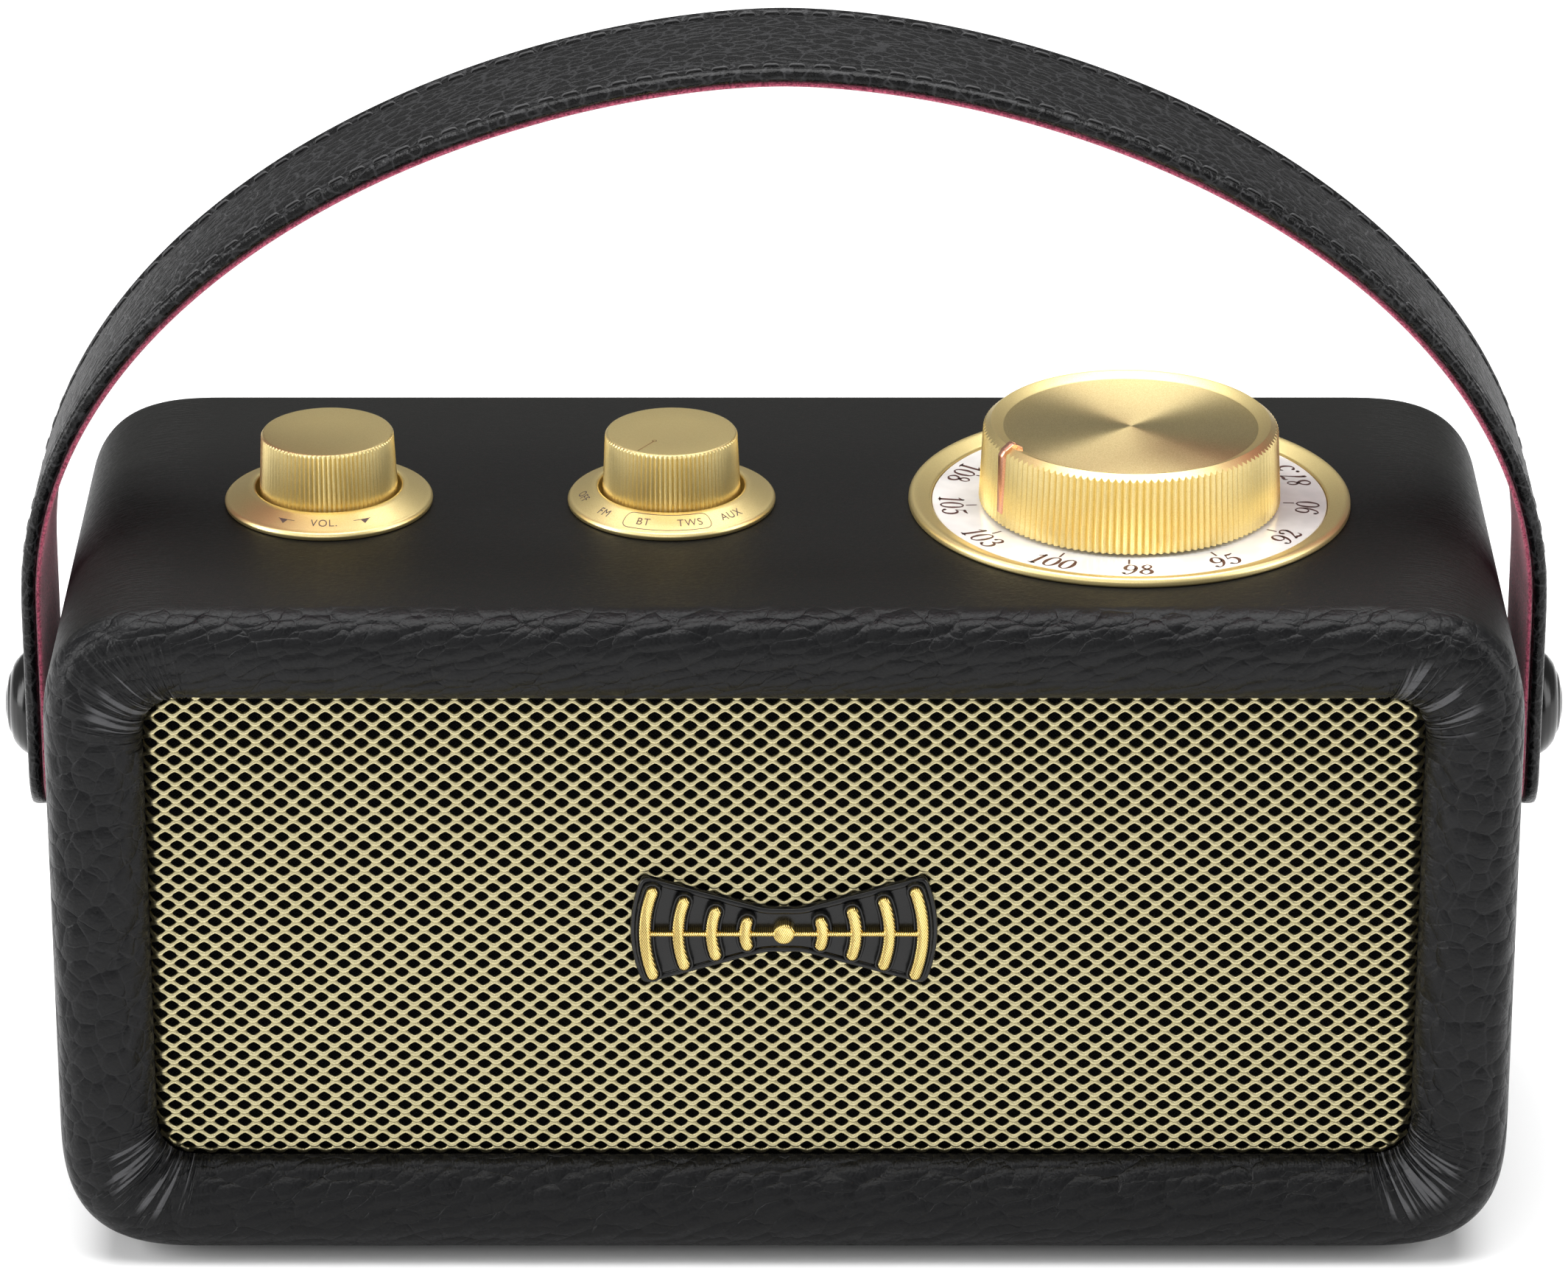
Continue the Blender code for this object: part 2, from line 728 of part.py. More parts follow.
def add_nut(name, x, bottom, height):
    place = Matrix.Translation((x, CONTROL_Y, TOP_Z + bottom + height / 2))
    nut = add_part(name, cylinder_mesh(name, 0.0056, height, 6), "brass", place)
    combine(nut, add_cutter(f"{name}_bore", cylinder_mesh("nut_bore", BUSHING_R + GAP, 0.010, 24), place))


def add_shaft(name, x, top, pivot):
    bottom = SHELL_UNDER - GAP - 0.0055 + GAP
    place = (x, CONTROL_Y, TOP_Z + (top + bottom) / 2)
    add_part(name, cylinder_mesh(name, SHAFT_R, top - bottom, 24), "steel", place, pivot)


def add_small_control(word, body_name, x):
    pivot = add_pivot(f"{word}_axis", (x, CONTROL_Y, TOP_Z))
    well = -0.0005
    bezel = [
        (SMALL_WELL_R, 0.0020),
        (SMALL_WELL_R + 0.0006, 0.0021),
        (SMALL_BEZEL_R - 0.0003, 0.0009),
        (SMALL_BEZEL_R, 0.0006),
        (SMALL_BEZEL_R, GAP),
        (SMALL_WELL_R + 0.0004, GAP),
        (SMALL_WELL_R + 0.0004, well - 0.0004),
        (BUSHING_R + 0.0004, well - 0.0004),
        (BUSHING_R + 0.0004, well),
        (SMALL_WELL_R, well),
    ]
    add_turned(f"{word}_bezel", bezel, "gold", (x, CONTROL_Y, TOP_Z), steps=ROUND_STEPS, closed=True)
    add_pot(body_name, x, 0.0028)
    add_nut(f"{word}_nut", x, well + GAP, 0.0021)
    shaft_top = 0.0068
    add_shaft(f"{word}_shaft", x, shaft_top, pivot)
    knob = [
        (0.0, SMALL_KNOB_TOP),
        (SMALL_KNOB_R - 0.0004, SMALL_KNOB_TOP),
        (SMALL_KNOB_R, SMALL_KNOB_TOP - 0.0004),
        (SMALL_KNOB_BASE_R, 0.0002),
        (0.0062, 0.0002),
        (0.0062, 0.0032),
        (SHAFT_R + GAP, 0.0032),
        (SHAFT_R + GAP, shaft_top + GAP),
        (0.0, shaft_top + GAP),
    ]
    add_turned(f"{word}_knob", knob, "gold", (x, CONTROL_Y, TOP_Z), steps=ROUND_STEPS, parent=pivot)


def add_tuning_control():
    x = TUNING_X
    pivot = add_pivot("tuning_axis", (x, CONTROL_Y, TOP_Z))
    under = SHELL_TOP + GAP
    floor = under + 0.0003
    bezel = [
        (DIAL_R + GAP, 0.0004),
        (TUNING_BEZEL_R - 0.0008, 0.0010),
        (TUNING_BEZEL_R - 0.0003, 0.0010),
        (TUNING_BEZEL_R, 0.0007),
        (TUNING_BEZEL_R, GAP),
        (TUNING_PAN_R, GAP),
        (TUNING_PAN_R, under),
        (BUSHING_R + 0.0004, under),
        (BUSHING_R + 0.0004, floor),
        (DIAL_R + GAP, floor),
    ]
    add_turned("tuning_bezel", bezel, "gold", (x, CONTROL_Y, TOP_Z), steps=WIDE_STEPS, closed=True)
    dial_under = floor + GAP
    dial_top = dial_under + 0.0005
    dial = [(0.0062, dial_top), (DIAL_R, dial_top), (DIAL_R, dial_under), (0.0062, dial_under)]
    add_turned("tuning_dial", dial, "dial_white", (x, CONTROL_Y, TOP_Z), steps=WIDE_STEPS, closed=True)
    add_pot("tuning_pot", x, 0.0036)
    add_nut("tuning_nut", x, floor + GAP, 0.0021)
    shaft_top = 0.0078
    add_shaft("tuning_shaft", x, shaft_top, pivot)
    knob_base = dial_top + 0.0004
    recess = TUNING_KNOB_TOP - 0.0006
    knob_profile = [
        (0.0, recess),
        (0.0140, recess),
        (0.0146, TUNING_KNOB_TOP),
        (TUNING_KNOB_R - 0.0006, TUNING_KNOB_TOP),
        (TUNING_KNOB_R, TUNING_KNOB_TOP - 0.0006),
        (TUNING_KNOB_BASE_R, knob_base),
        (0.0072, knob_base),
        (0.0072, 0.0042),
        (SHAFT_R + GAP, 0.0042),
        (SHAFT_R + GAP, shaft_top + GAP),
        (0.0, shaft_top + GAP),
    ]
    centre = (x, CONTROL_Y, TOP_Z)
    knob = add_turned("tuning_knob", knob_profile, "gold", centre, steps=WIDE_STEPS, parent=pivot)
    turn = Matrix.Rotation(-POINTER_ANGLE, 4, "Z")
    here = Matrix.Translation((x, CONTROL_Y, TOP_Z)) @ turn
    inner = TUNING_KNOB_R - 0.0014
    slot_low = knob_base + 0.0010
    slot_size = (POINTER_W + 2 * GAP, 0.0040, 0.0120)
    slot_middle = (0, -inner - slot_size[1] / 2 + GAP, slot_low + slot_size[2] / 2)
    slot_place = here @ Matrix.Translation(slot_middle)
    combine(knob, add_cutter("pointer_slot", box_mesh("pointer_slot", slot_size), slot_place))
    low = slot_low + GAP
    high = TUNING_KNOB_TOP + POINTER_PROUD
    thick = TUNING_KNOB_R + POINTER_PROUD - inner
    middle = here @ Matrix.Translation((0, -inner - thick / 2, (low + high) / 2))
    blade = box_mesh("tuning_pointer", (POINTER_W, thick, high - low))
    bevel(add_part("tuning_pointer", blade, "copper", middle, pivot), 0.00015, 1)


# --- Strap -----------------------------------------------------------------------------------
def strap_face():
    """The strap's outer face from the left tail over the arch to the right tail, as (x, z)."""
    tail_z = STRAP_PIVOT_Z - STRAP_TAIL
    leg_steps = 6
    arch_steps = 20
    half = []
    for step in range(leg_steps):
        half.append((STRAP_HALF_SPAN, tail_z + (STRAP_SHOULDER_Z - tail_z) * step / leg_steps))
    for step in range(arch_steps + 1):
        turn = math.pi / 2 * step / arch_steps
        across = STRAP_HALF_SPAN * max(math.cos(turn), 0.0) ** STRAP_BULGE
        half.append((across, STRAP_SHOULDER_Z + STRAP_RISE * math.sin(turn)))
    left = [(-x, z) for x, z in half[:-1]]
    apex = [(0.0, STRAP_SHOULDER_Z + STRAP_RISE)]
    return left + apex + list(reversed(half[:-1]))


def strap_mesh(name, near, far, width):
    """A band between two depths below the outer face, with rounded tails."""
    face = strap_face()
    outer = offset_path(face, -near)
    inner = offset_path(face, -far)
    length = [0.0]
    for a, b in zip(face, face[1:]):
        length.append(length[-1] + (Vector(b) - Vector(a)).length)
    loops = []
    for (xo, zo), (xi, zi), run in zip(outer, inner, length):
        from_end = min(run, length[-1] - run)
        missing = max(0.0, 1 - from_end / 0.0060)
        half = width / 2 * math.sqrt(1 - 0.75 * missing**2)
        loops.append(
            [
                (xo, STRAP_Y - half, zo),
                (xo, STRAP_Y + half, zo),
                (xi, STRAP_Y + half, zi),
                (xi, STRAP_Y - half, zi),
            ]
        )
    return loft_mesh(name, loops, wrap=False)


def add_handle():
    pivot = add_pivot("handle_axis", (0, STRAP_Y, STRAP_PIVOT_Z))
    band = strap_mesh("strap_leather", 0, STRAP_LEATHER_T, STRAP_W)
    strap = add_part("strap_leather", band, "strap_leather", parent=pivot)
    lining_near = STRAP_LEATHER_T + GAP
    lining_far = lining_near + STRAP_LINING_T
    band = strap_mesh("strap_lining", lining_near, lining_far, STRAP_W - 0.0014)
    lining = add_part("strap_lining", band, "felt", parent=pivot)
    for name, sign in (("left", -1), ("right", 1)):
        axis = (sign, 0, 0)
        face = sign * STRAP_HALF_SPAN
        place = Matrix.Translation((face, STRAP_Y, STRAP_PIVOT_Z)) @ turned_towards(axis)
        hole = add_cutter(f"strap_hole_{name}", cylinder_mesh("strap_hole", PIN_R + GAP, 0.012, 16), place)
        combine(strap, hole)
        combine(lining, hole)
        head = BODY_W / 2 - SHELL_IN - GAP - STRAP_HALF_SPAN
        tip = 0.0018
        pin = [
            (0.0, tip),
            (PIN_R, tip),
            (PIN_R, head),
            (0.0042, head),
            (0.0042, head - 0.0015),
            (0.0, head - 0.0015),
        ]
        add_turned(f"strap_pin_{name}", pin, "steel", (face, STRAP_Y, STRAP_PIVOT_Z), axis, 16)
        button = [
            (0.0, BUTTON_T),
            (0.0014, BUTTON_T - 0.0001),
            (0.0022, BUTTON_T - 0.0005),
            (0.0034, BUTTON_T - 0.0008),
            (0.0044, BUTTON_T - 0.0014),
            (0.0056, BUTTON_T - 0.0021),
            (BUTTON_R, BUTTON_T - 0.0027),
            (BUTTON_R - 0.0002, GAP),
            (PIN_R + GAP, GAP),
            (PIN_R + GAP, tip + GAP),
            (0.0, tip + GAP),
        ]
        add_turned(f"strap_button_{name}", button, "gloss_black", (face, STRAP_Y, STRAP_PIVOT_Z), axis, 24)
        outer = BODY_W / 2 - STRAP_HALF_SPAN + GAP
        washer_top = -lining_far - GAP
        washer = [
            (PIN_R + GAP, washer_top),
            (0.0045, washer_top),
            (0.0045, outer),
            (PIN_R + GAP, outer),
        ]
        pivot_point = (face, STRAP_Y, STRAP_PIVOT_Z)
        add_turned(f"strap_washer_{name}", washer, "rubber", pivot_point, axis, SMALL_STEPS, closed=True)


# --- Antenna ---------------------------------------------------------------------------------
KNUCKLE_R = 0.0042
EYE_R = 0.0025


def add_antenna():
    swivel = add_pivot("antenna_swivel_axis", (ANTENNA_X, ANTENNA_Y, ANTENNA_Z))
    panel_back = FRONT_Y + REAR_PANEL_BACK
    disc_low = panel_back + GAP - ANTENNA_Y
    ear_low = disc_low + 0.0012
    stem = panel_back - REAR_PANEL_T - 0.0042 - ANTENNA_Y
    base = add_turned(
        "antenna_base",
        [
            (0.0, EYE_R),
            (KNUCKLE_R, EYE_R),
            (KNUCKLE_R, disc_low),
            (0.0020, disc_low),
            (0.0020, stem),
            (0.0, stem),
        ],
        "chrome",
        (ANTENNA_X, ANTENNA_Y, ANTENNA_Z),
        (0, 1, 0),
        32,
        parent=swivel,
    )
    slot_height = 2 * (EYE_R - 0.0006)
    slot = box_mesh("fork_slot", (0.020, 0.010, slot_height + 2 * GAP))
    slot_place = (ANTENNA_X, ANTENNA_Y + ear_low + 0.0050, ANTENNA_Z)
    combine(base, add_cutter("fork_slot", slot, slot_place))
    pin_hole = cylinder_mesh("fork_pin_hole", 0.0008 + GAP, 0.020, 12)
    combine(base, add_cutter("fork_pin_hole", pin_hole, (ANTENNA_X, ANTENNA_Y, ANTENNA_Z)))
    add_part(
        "antenna_hinge_pin",
        cylinder_mesh("antenna_hinge_pin", 0.0008, 0.0070, 12),
        "steel",
        (ANTENNA_X, ANTENNA_Y, ANTENNA_Z),
        swivel,
    )
    retainer = [
        (0.0023, panel_back - REAR_PANEL_T - GAP),
        (0.0048, panel_back - REAR_PANEL_T - GAP),
        (0.0048, panel_back - REAR_PANEL_T - 0.0021),
        (0.0023, panel_back - REAR_PANEL_T - 0.0021),
    ]
    retainer = [(r, y - ANTENNA_Y) for r, y in retainer]
    add_turned(
        "antenna_retainer",
        retainer,
        "brass",
        (ANTENNA_X, ANTENNA_Y, ANTENNA_Z),
        (0, 1, 0),
        6,
        closed=True,
        parent=swivel,
    )

    tilt = add_pivot("antenna_tilt_axis", (ANTENNA_X, ANTENNA_Y, ANTENNA_Z))
    eye = cylinder_mesh("antenna_root", EYE_R, slot_height, 24)
    root = add_part("antenna_root", eye, "chrome", (ANTENNA_X, ANTENNA_Y, ANTENNA_Z), tilt)
    neck_length = 0.0055
    neck = box_mesh("root_neck", (neck_length, 0.0034, slot_height))
    neck_x = ANTENNA_X - EYE_R * 0.6 - neck_length / 2
    combine(root, add_cutter("root_neck", neck, (neck_x, ANTENNA_Y, ANTENNA_Z)), "UNION")
    root_hole = cylinder_mesh("root_hole", 0.0008 + GAP, 0.020, 12)
    combine(root, add_cutter("root_hole", root_hole, (ANTENNA_X, ANTENNA_Y, ANTENNA_Z)))

    start_x = ANTENNA_X - EYE_R * 0.6 - neck_length - GAP
    for number, (radius, bore) in enumerate(zip(TUBE_RADII, TUBE_BORES)):
        near = -0.0012 * (number + 1) if number else 0.0
        far = -(TUBE_LENGTH + 0.0010 * number)
        if bore:
            floor = near - 0.0010
            profile = [
                (0.0, near),
                (radius, near),
                (radius, far),
                (bore, far),
                (bore, floor),
                (0.0, floor),
            ]
        else:
            cap = far - 0.0022
            profile = [
                (0.0, near),
                (radius, near),
                (radius, far - GAP),
                (0.0020, far - GAP),
                (0.0022, cap),
                (0.0018, cap - 0.0008),
                (0.0, cap - 0.0010),
            ]
        add_turned(
            f"antenna_tube_{number + 1}",
            profile,
            "chrome",
            (start_x, ANTENNA_Y, ANTENNA_Z),
            (1, 0, 0),
            16,
            parent=tilt,
        )


clear_scene()
PARTS = new_collection("leather_portable_radio")
CUTTERS = new_collection("cutters")
add_cabinet()
add_front()
add_badge()
add_back()
add_power()
add_speaker()
add_feet()
add_small_control("volume", "volume_pot", VOLUME_X)
add_small_control("function", "function_switch", FUNCTION_X)
add_tuning_control()
add_handle()
add_antenna()
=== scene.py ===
"""The looks of the leather portable radio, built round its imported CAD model. Metres, +Z up.

Places and sizes come from the frame's boxes. The few dimensions that a box can't give, such as the
outline of the rounded cabinet, repeat the CAD's own values. Controls turn about the middle of their
knobs, the grille faces -Y, and the antenna is folded along the back.
"""

import json
import math
import random

import bmesh
import bpy
import numpy as np
from mathutils import Euler, Matrix, Vector, noise


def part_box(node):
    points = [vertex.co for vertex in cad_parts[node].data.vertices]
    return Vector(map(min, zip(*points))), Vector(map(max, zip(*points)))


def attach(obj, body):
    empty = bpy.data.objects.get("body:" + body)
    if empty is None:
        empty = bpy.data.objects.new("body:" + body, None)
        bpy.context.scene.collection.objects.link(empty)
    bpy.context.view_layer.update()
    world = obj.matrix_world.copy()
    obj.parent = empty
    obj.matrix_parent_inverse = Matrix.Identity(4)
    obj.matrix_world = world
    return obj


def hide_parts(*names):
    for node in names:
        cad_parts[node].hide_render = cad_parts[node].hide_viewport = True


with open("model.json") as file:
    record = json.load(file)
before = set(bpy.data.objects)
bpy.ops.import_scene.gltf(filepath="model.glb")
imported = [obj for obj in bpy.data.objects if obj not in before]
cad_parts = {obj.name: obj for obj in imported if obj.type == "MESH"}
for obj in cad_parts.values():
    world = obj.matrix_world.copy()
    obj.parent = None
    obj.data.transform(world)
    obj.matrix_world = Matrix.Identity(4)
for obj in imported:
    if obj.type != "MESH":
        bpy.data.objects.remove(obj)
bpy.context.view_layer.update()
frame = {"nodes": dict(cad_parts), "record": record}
MM = 0.001

# --- Places from the frame -------------------------------------------------------------------
COVER_LOW, COVER_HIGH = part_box("leather_cover")
FRONT_Y = COVER_LOW.y
REAR_Y = COVER_HIGH.y
TOP_Z = COVER_HIGH.z
MID_Z = (COVER_LOW.z + COVER_HIGH.z) / 2
HALF_W = (COVER_HIGH.x - COVER_LOW.x) / 2
HALF_H = (COVER_HIGH.z - COVER_LOW.z) / 2
BODY_D = REAR_Y - FRONT_Y


def axis_of(node):
    """The vertical axis of a turned node: a point on it at the height of the leather's top."""
    low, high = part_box(node)
    return Vector(((low.x + high.x) / 2, (low.y + high.y) / 2, TOP_Z))


VOLUME_AXIS = axis_of("volume_knob")
FUNCTION_AXIS = axis_of("function_knob")
TUNING_AXIS = axis_of("tuning_dial")

# --- The CAD's own dimensions ----------------------------------------------------------------
CORNER_REACH = 16.4 * MM
CORNER_POWER = 3.1
LEATHER_T = 0.9 * MM
GAP = 0.3 * MM
REAR_PATH = [(5.0, 2.4), (4.8, 0.9), (3.9, 0.2), (2.6, 0.0), (1.2, 0.4), (0.3, 1.5), (0.0, 3.2)]
FRONT_PATH = [
    (0.0, 4.2),
    (0.3, 2.6),
    (1.1, 1.1),
    (2.3, 0.3),
    (3.9, 0.0),
    (5.9, 0.2),
    (7.9, 0.8),
    (9.4, 1.9),
    (10.3, 3.2),
    (10.5, 4.6),
]
SMALL_WELL_R = 8.0 * MM
SMALL_BEZEL_R = 11.4 * MM
DIAL_R = 21.6 * MM
TUNING_BEZEL_R = 24.2 * MM
POINTER_ANGLE = math.radians(61)
FUNCTION_POINTER_ANGLE = math.radians(32)
STRAP_Y = FRONT_Y + 33.0 * MM
STRAP_HALF_W = 10.5 * MM
STRAP_HALF_SPAN = 82.9 * MM
STRAP_SHOULDER_Z = 69.1 * MM
STRAP_RISE = 61.6 * MM
STRAP_BULGE = 1.13
STRAP_PIVOT_Z = 53.2 * MM
STRAP_TAIL = 10.0 * MM
STRAP_T = 1.5 * MM


# --- Node helpers ----------------------------------------------------------------------------
def new_material(name):
    material = bpy.data.materials.new(name)
    material.use_nodes = True
    return material, material.node_tree, material.node_tree.nodes["Principled BSDF"]


def put(tree, kind, values=None, links=None, **settings):
    """Adds a node, sets its settings and socket values, and links sockets into it."""
    node = tree.nodes.new(kind)
    for key, value in settings.items():
        setattr(node, key, value)
    for key, value in (values or {}).items():
        node.inputs[key].default_value = value
    for key, socket in (links or {}).items():
        tree.links.new(socket, node.inputs[key])
    return node


def object_coords(tree):
    return put(tree, "ShaderNodeTexCoord").outputs["Object"]


def stretched(tree, coords, scale, turn=(0, 0, 0)):
    values = {"Scale": scale, "Rotation": turn}
    return put(tree, "ShaderNodeMapping", values, {"Vector": coords}).outputs["Vector"]


def noise_of(tree, coords, size, detail=3.0, roughness=0.55, distortion=0.0):
    """Noise whose lumps are about size metres."""
    values = {"Scale": 1 / size, "Detail": detail, "Roughness": roughness, "Distortion": distortion}
    return put(tree, "ShaderNodeTexNoise", values, {"Vector": coords})


def warped(tree, coords, size, amount):
    """Coordinates pushed about by noise, so that cells and lines lose their straightness."""
    swirl = noise_of(tree, coords, size, 2.0).outputs["Color"]
    centred = put(tree, "ShaderNodeVectorMath", {1: (0.5, 0.5, 0.5)}, {0: swirl}, operation="SUBTRACT")
    scaled = put(tree, "ShaderNodeVectorMath", {"Scale": amount}, {0: centred.outputs[0]}, operation="SCALE")
    moved = put(tree, "ShaderNodeVectorMath", None, {0: coords, 1: scaled.outputs[0]}, operation="ADD")
    return moved.outputs[0]


def cell_distance(tree, coords, size):
    values = {"Scale": 1 / size}
    return put(tree, "ShaderNodeTexVoronoi", values, {"Vector": coords}).outputs["Distance"]


def cell_edges(tree, coords, size):
    values = {"Scale": 1 / size}
    links = {"Vector": coords}
    return put(tree, "ShaderNodeTexVoronoi", values, links, feature="DISTANCE_TO_EDGE").outputs["Distance"]


def mapped(tree, value, low, high, to_low=0.0, to_high=1.0, smooth=True):
    values = {"From Min": low, "From Max": high, "To Min": to_low, "To Max": to_high}
    kind = "SMOOTHSTEP" if smooth else "LINEAR"
    node = put(tree, "ShaderNodeMapRange", values, {"Value": value}, interpolation_type=kind)
    return node.outputs["Result"]


def maths(tree, operation, a, b=None):
    node = put(tree, "ShaderNodeMath", operation=operation)
    for index, value in enumerate((a, b)):
        if isinstance(value, (int, float)):
            node.inputs[index].default_value = value
        elif value is not None:
            tree.links.new(value, node.inputs[index])
    return node.outputs["Value"]


def colour_mix(tree, factor, a, b):
    node = put(tree, "ShaderNodeMix", data_type="RGBA")
    tree.links.new(factor, node.inputs[0])
    for index, value in ((6, a), (7, b)):
        if isinstance(value, tuple):
            node.inputs[index].default_value = (*value, 1.0)
        else:
            tree.links.new(value, node.inputs[index])
    return node.outputs[2]


def bump(tree, height, distance, normal=None):
    """Raises the surface by height times distance, in metres."""
    links = {"Height": height}
    if normal is not None:
        links["Normal"] = normal
    return put(tree, "ShaderNodeBump", {"Distance": distance}, links).outputs["Normal"]


def attribute(tree, name, output="Fac"):
    return put(tree, "ShaderNodeAttribute", attribute_name=name).outputs[output]


# --- Materials -------------------------------------------------------------------------------
def cover_leather():
    """Black hide: crackled into pebbles on the front and sides, smooth and pored on the top."""
    material, tree, shader = new_material("cover_leather")
    coords = object_coords(tree)
    smooth_zone = attribute(tree, "smooth_zone")
    level = attribute(tree, "level")
    flow = attribute(tree, "flow", "Vector")
    rough_zone = maths(tree, "SUBTRACT", 1.0, smooth_zone)

    swirled = warped(tree, warped(tree, coords, 6.0 * MM, 2.2 * MM), 1.2 * MM, 0.40 * MM)
    slanted = stretched(tree, stretched(tree, swirled, (1, 1, 1), (0, 0.36, 0)), (0.68, 1.0, 1.55))
    upright = maths(tree, "SUBTRACT", 1.0, level)
    wide = maths(
        tree,
        "ADD",
        maths(tree, "MULTIPLY", cell_edges(tree, slanted, 2.3 * MM), level),
        maths(tree, "MULTIPLY", cell_edges(tree, swirled, 2.3 * MM), upright),
    )
    dome = maths(
        tree,
        "ADD",
        maths(tree, "MULTIPLY", maths(tree, "POWER", cell_distance(tree, slanted, 2.3 * MM), 2.0), level),
        maths(tree, "MULTIPLY", maths(tree, "POWER", cell_distance(tree, swirled, 2.3 * MM), 2.0), upright),
    )
    small = cell_edges(tree, warped(tree, coords, 2.0 * MM, 1.1 * MM), 1.1 * MM)
    patchy = mapped(tree, noise_of(tree, coords, 6.0 * MM, 2.0).outputs["Fac"], 0.36, 0.58)
    crack = mapped(tree, wide, 0.0, 0.06)
    crack_small = maths(tree, "MAXIMUM", mapped(tree, small, 0.0, 0.09), patchy)
    pores = noise_of(tree, coords, 0.17 * MM, 2.0, 0.6).outputs["Fac"]
    grain = noise_of(tree, coords, 0.45 * MM, 3.0, 0.6).outputs["Fac"]
    bead_coords = warped(tree, coords, 0.8 * MM, 0.3 * MM)
    beads = maths(tree, "POWER", cell_distance(tree, bead_coords, 0.42 * MM), 2.0)
    beads = maths(tree, "MULTIPLY", beads, rough_zone)

    broken = maths(tree, "MAXIMUM", crack, maths(tree, "MULTIPLY", patchy, 0.8))
    pebbles = maths(tree, "SUBTRACT", maths(tree, "MULTIPLY", broken, 0.09), dome)
    pebbles = maths(tree, "ADD", pebbles, maths(tree, "MULTIPLY", crack_small, 0.02))
    pebbles = maths(tree, "MULTIPLY", pebbles, rough_zone)
    crumpled = stretched(tree, warped(tree, coords, 2.0 * MM, 0.9 * MM), (0.6, 1.0, 1.0))
    crepe = noise_of(tree, crumpled, 0.45 * MM, 2.0)
    crepe = maths(tree, "MULTIPLY", mapped(tree, crepe.outputs["Fac"], 0.40, 0.60), smooth_zone)
    lines = noise_of(tree, stretched(tree, flow, (0.16, 1.0, 1.0)), 0.42 * MM, 3.0, 0.6, 0.6).outputs["Fac"]
    lines = maths(tree, "MULTIPLY", mapped(tree, lines, 0.38, 0.60), attribute(tree, "shoulder"))
    pinches = noise_of(tree, stretched(tree, flow, (1.0, 0.25, 1.0)), 0.40 * MM, 2.0).outputs["Fac"]
    pinches = maths(tree, "MULTIPLY", pinches, attribute(tree, "lip"))
    gathers = noise_of(tree, stretched(tree, flow, (1.0, 0.07, 1.0)), 0.95 * MM, 1.5, 0.5, 0.15)
    gathers = mapped(tree, gathers.outputs["Fac"], 0.40, 0.62)
    gathers = maths(tree, "MULTIPLY", gathers, attribute(tree, "gather"))

    normal = bump(tree, pebbles, 0.46 * MM)
    normal = bump(tree, maths(tree, "SUBTRACT", 1.0, beads), 0.035 * MM, normal)
    normal = bump(tree, gathers, 0.28 * MM, normal)
    normal = bump(tree, crepe, 0.014 * MM, normal)
    normal = bump(tree, lines, 0.060 * MM, normal)
    normal = bump(tree, pinches, 0.22 * MM, normal)
    normal = bump(tree, grain, 0.028 * MM, normal)
    normal = bump(tree, pores, 0.016 * MM, normal)
    tree.links.new(normal, shader.inputs["Normal"])

    tone = noise_of(tree, coords, 14.0 * MM, 3.0).outputs["Fac"]
    front = colour_mix(tree, tone, (0.0012, 0.0013, 0.0017), (0.0022, 0.0023, 0.0029))
    top = colour_mix(tree, tone, (0.0036, 0.0036, 0.0030), (0.0056, 0.0056, 0.0048))
    base = colour_mix(tree, smooth_zone, front, top)
    # Partly wear, partly painted highlight: the crease lines are painted paler on the left and right borders
    # and the sides, as where they catch the light, and fade to nothing on the top and bottom borders
    paler_crease_lines = maths(tree, "MULTIPLY", maths(tree, "SUBTRACT", 1.0, crack), rough_zone)
    paler_crease_lines = maths(tree, "MULTIPLY", paler_crease_lines, maths(tree, "SUBTRACT", 0.18, maths(tree, "MULTIPLY", level, 0.18)))
    specks = mapped(tree, pores, 0.68, 0.76, 0.0, 0.45)
    base = colour_mix(tree, paler_crease_lines, base, (0.030, 0.030, 0.032))
    # Painted highlight: the ridges of the corner gathers are painted paler, as where they catch the light
    base = colour_mix(tree, mapped(tree, gathers, 0.62, 0.98, 0.0, 0.8), base, (0.080, 0.080, 0.084))
    base = colour_mix(tree, specks, base, (0.050, 0.050, 0.048))
    tree.links.new(base, shader.inputs["Base Color"])
    softer = maths(tree, "MULTIPLY", smooth_zone, 0.12)
    gloss = maths(tree, "ADD", mapped(tree, grain, 0.3, 0.7, 0.36, 0.46), softer)
    tree.links.new(gloss, shader.inputs["Roughness"])
    shader.inputs["Specular IOR Level"].default_value = 0.19
    return material


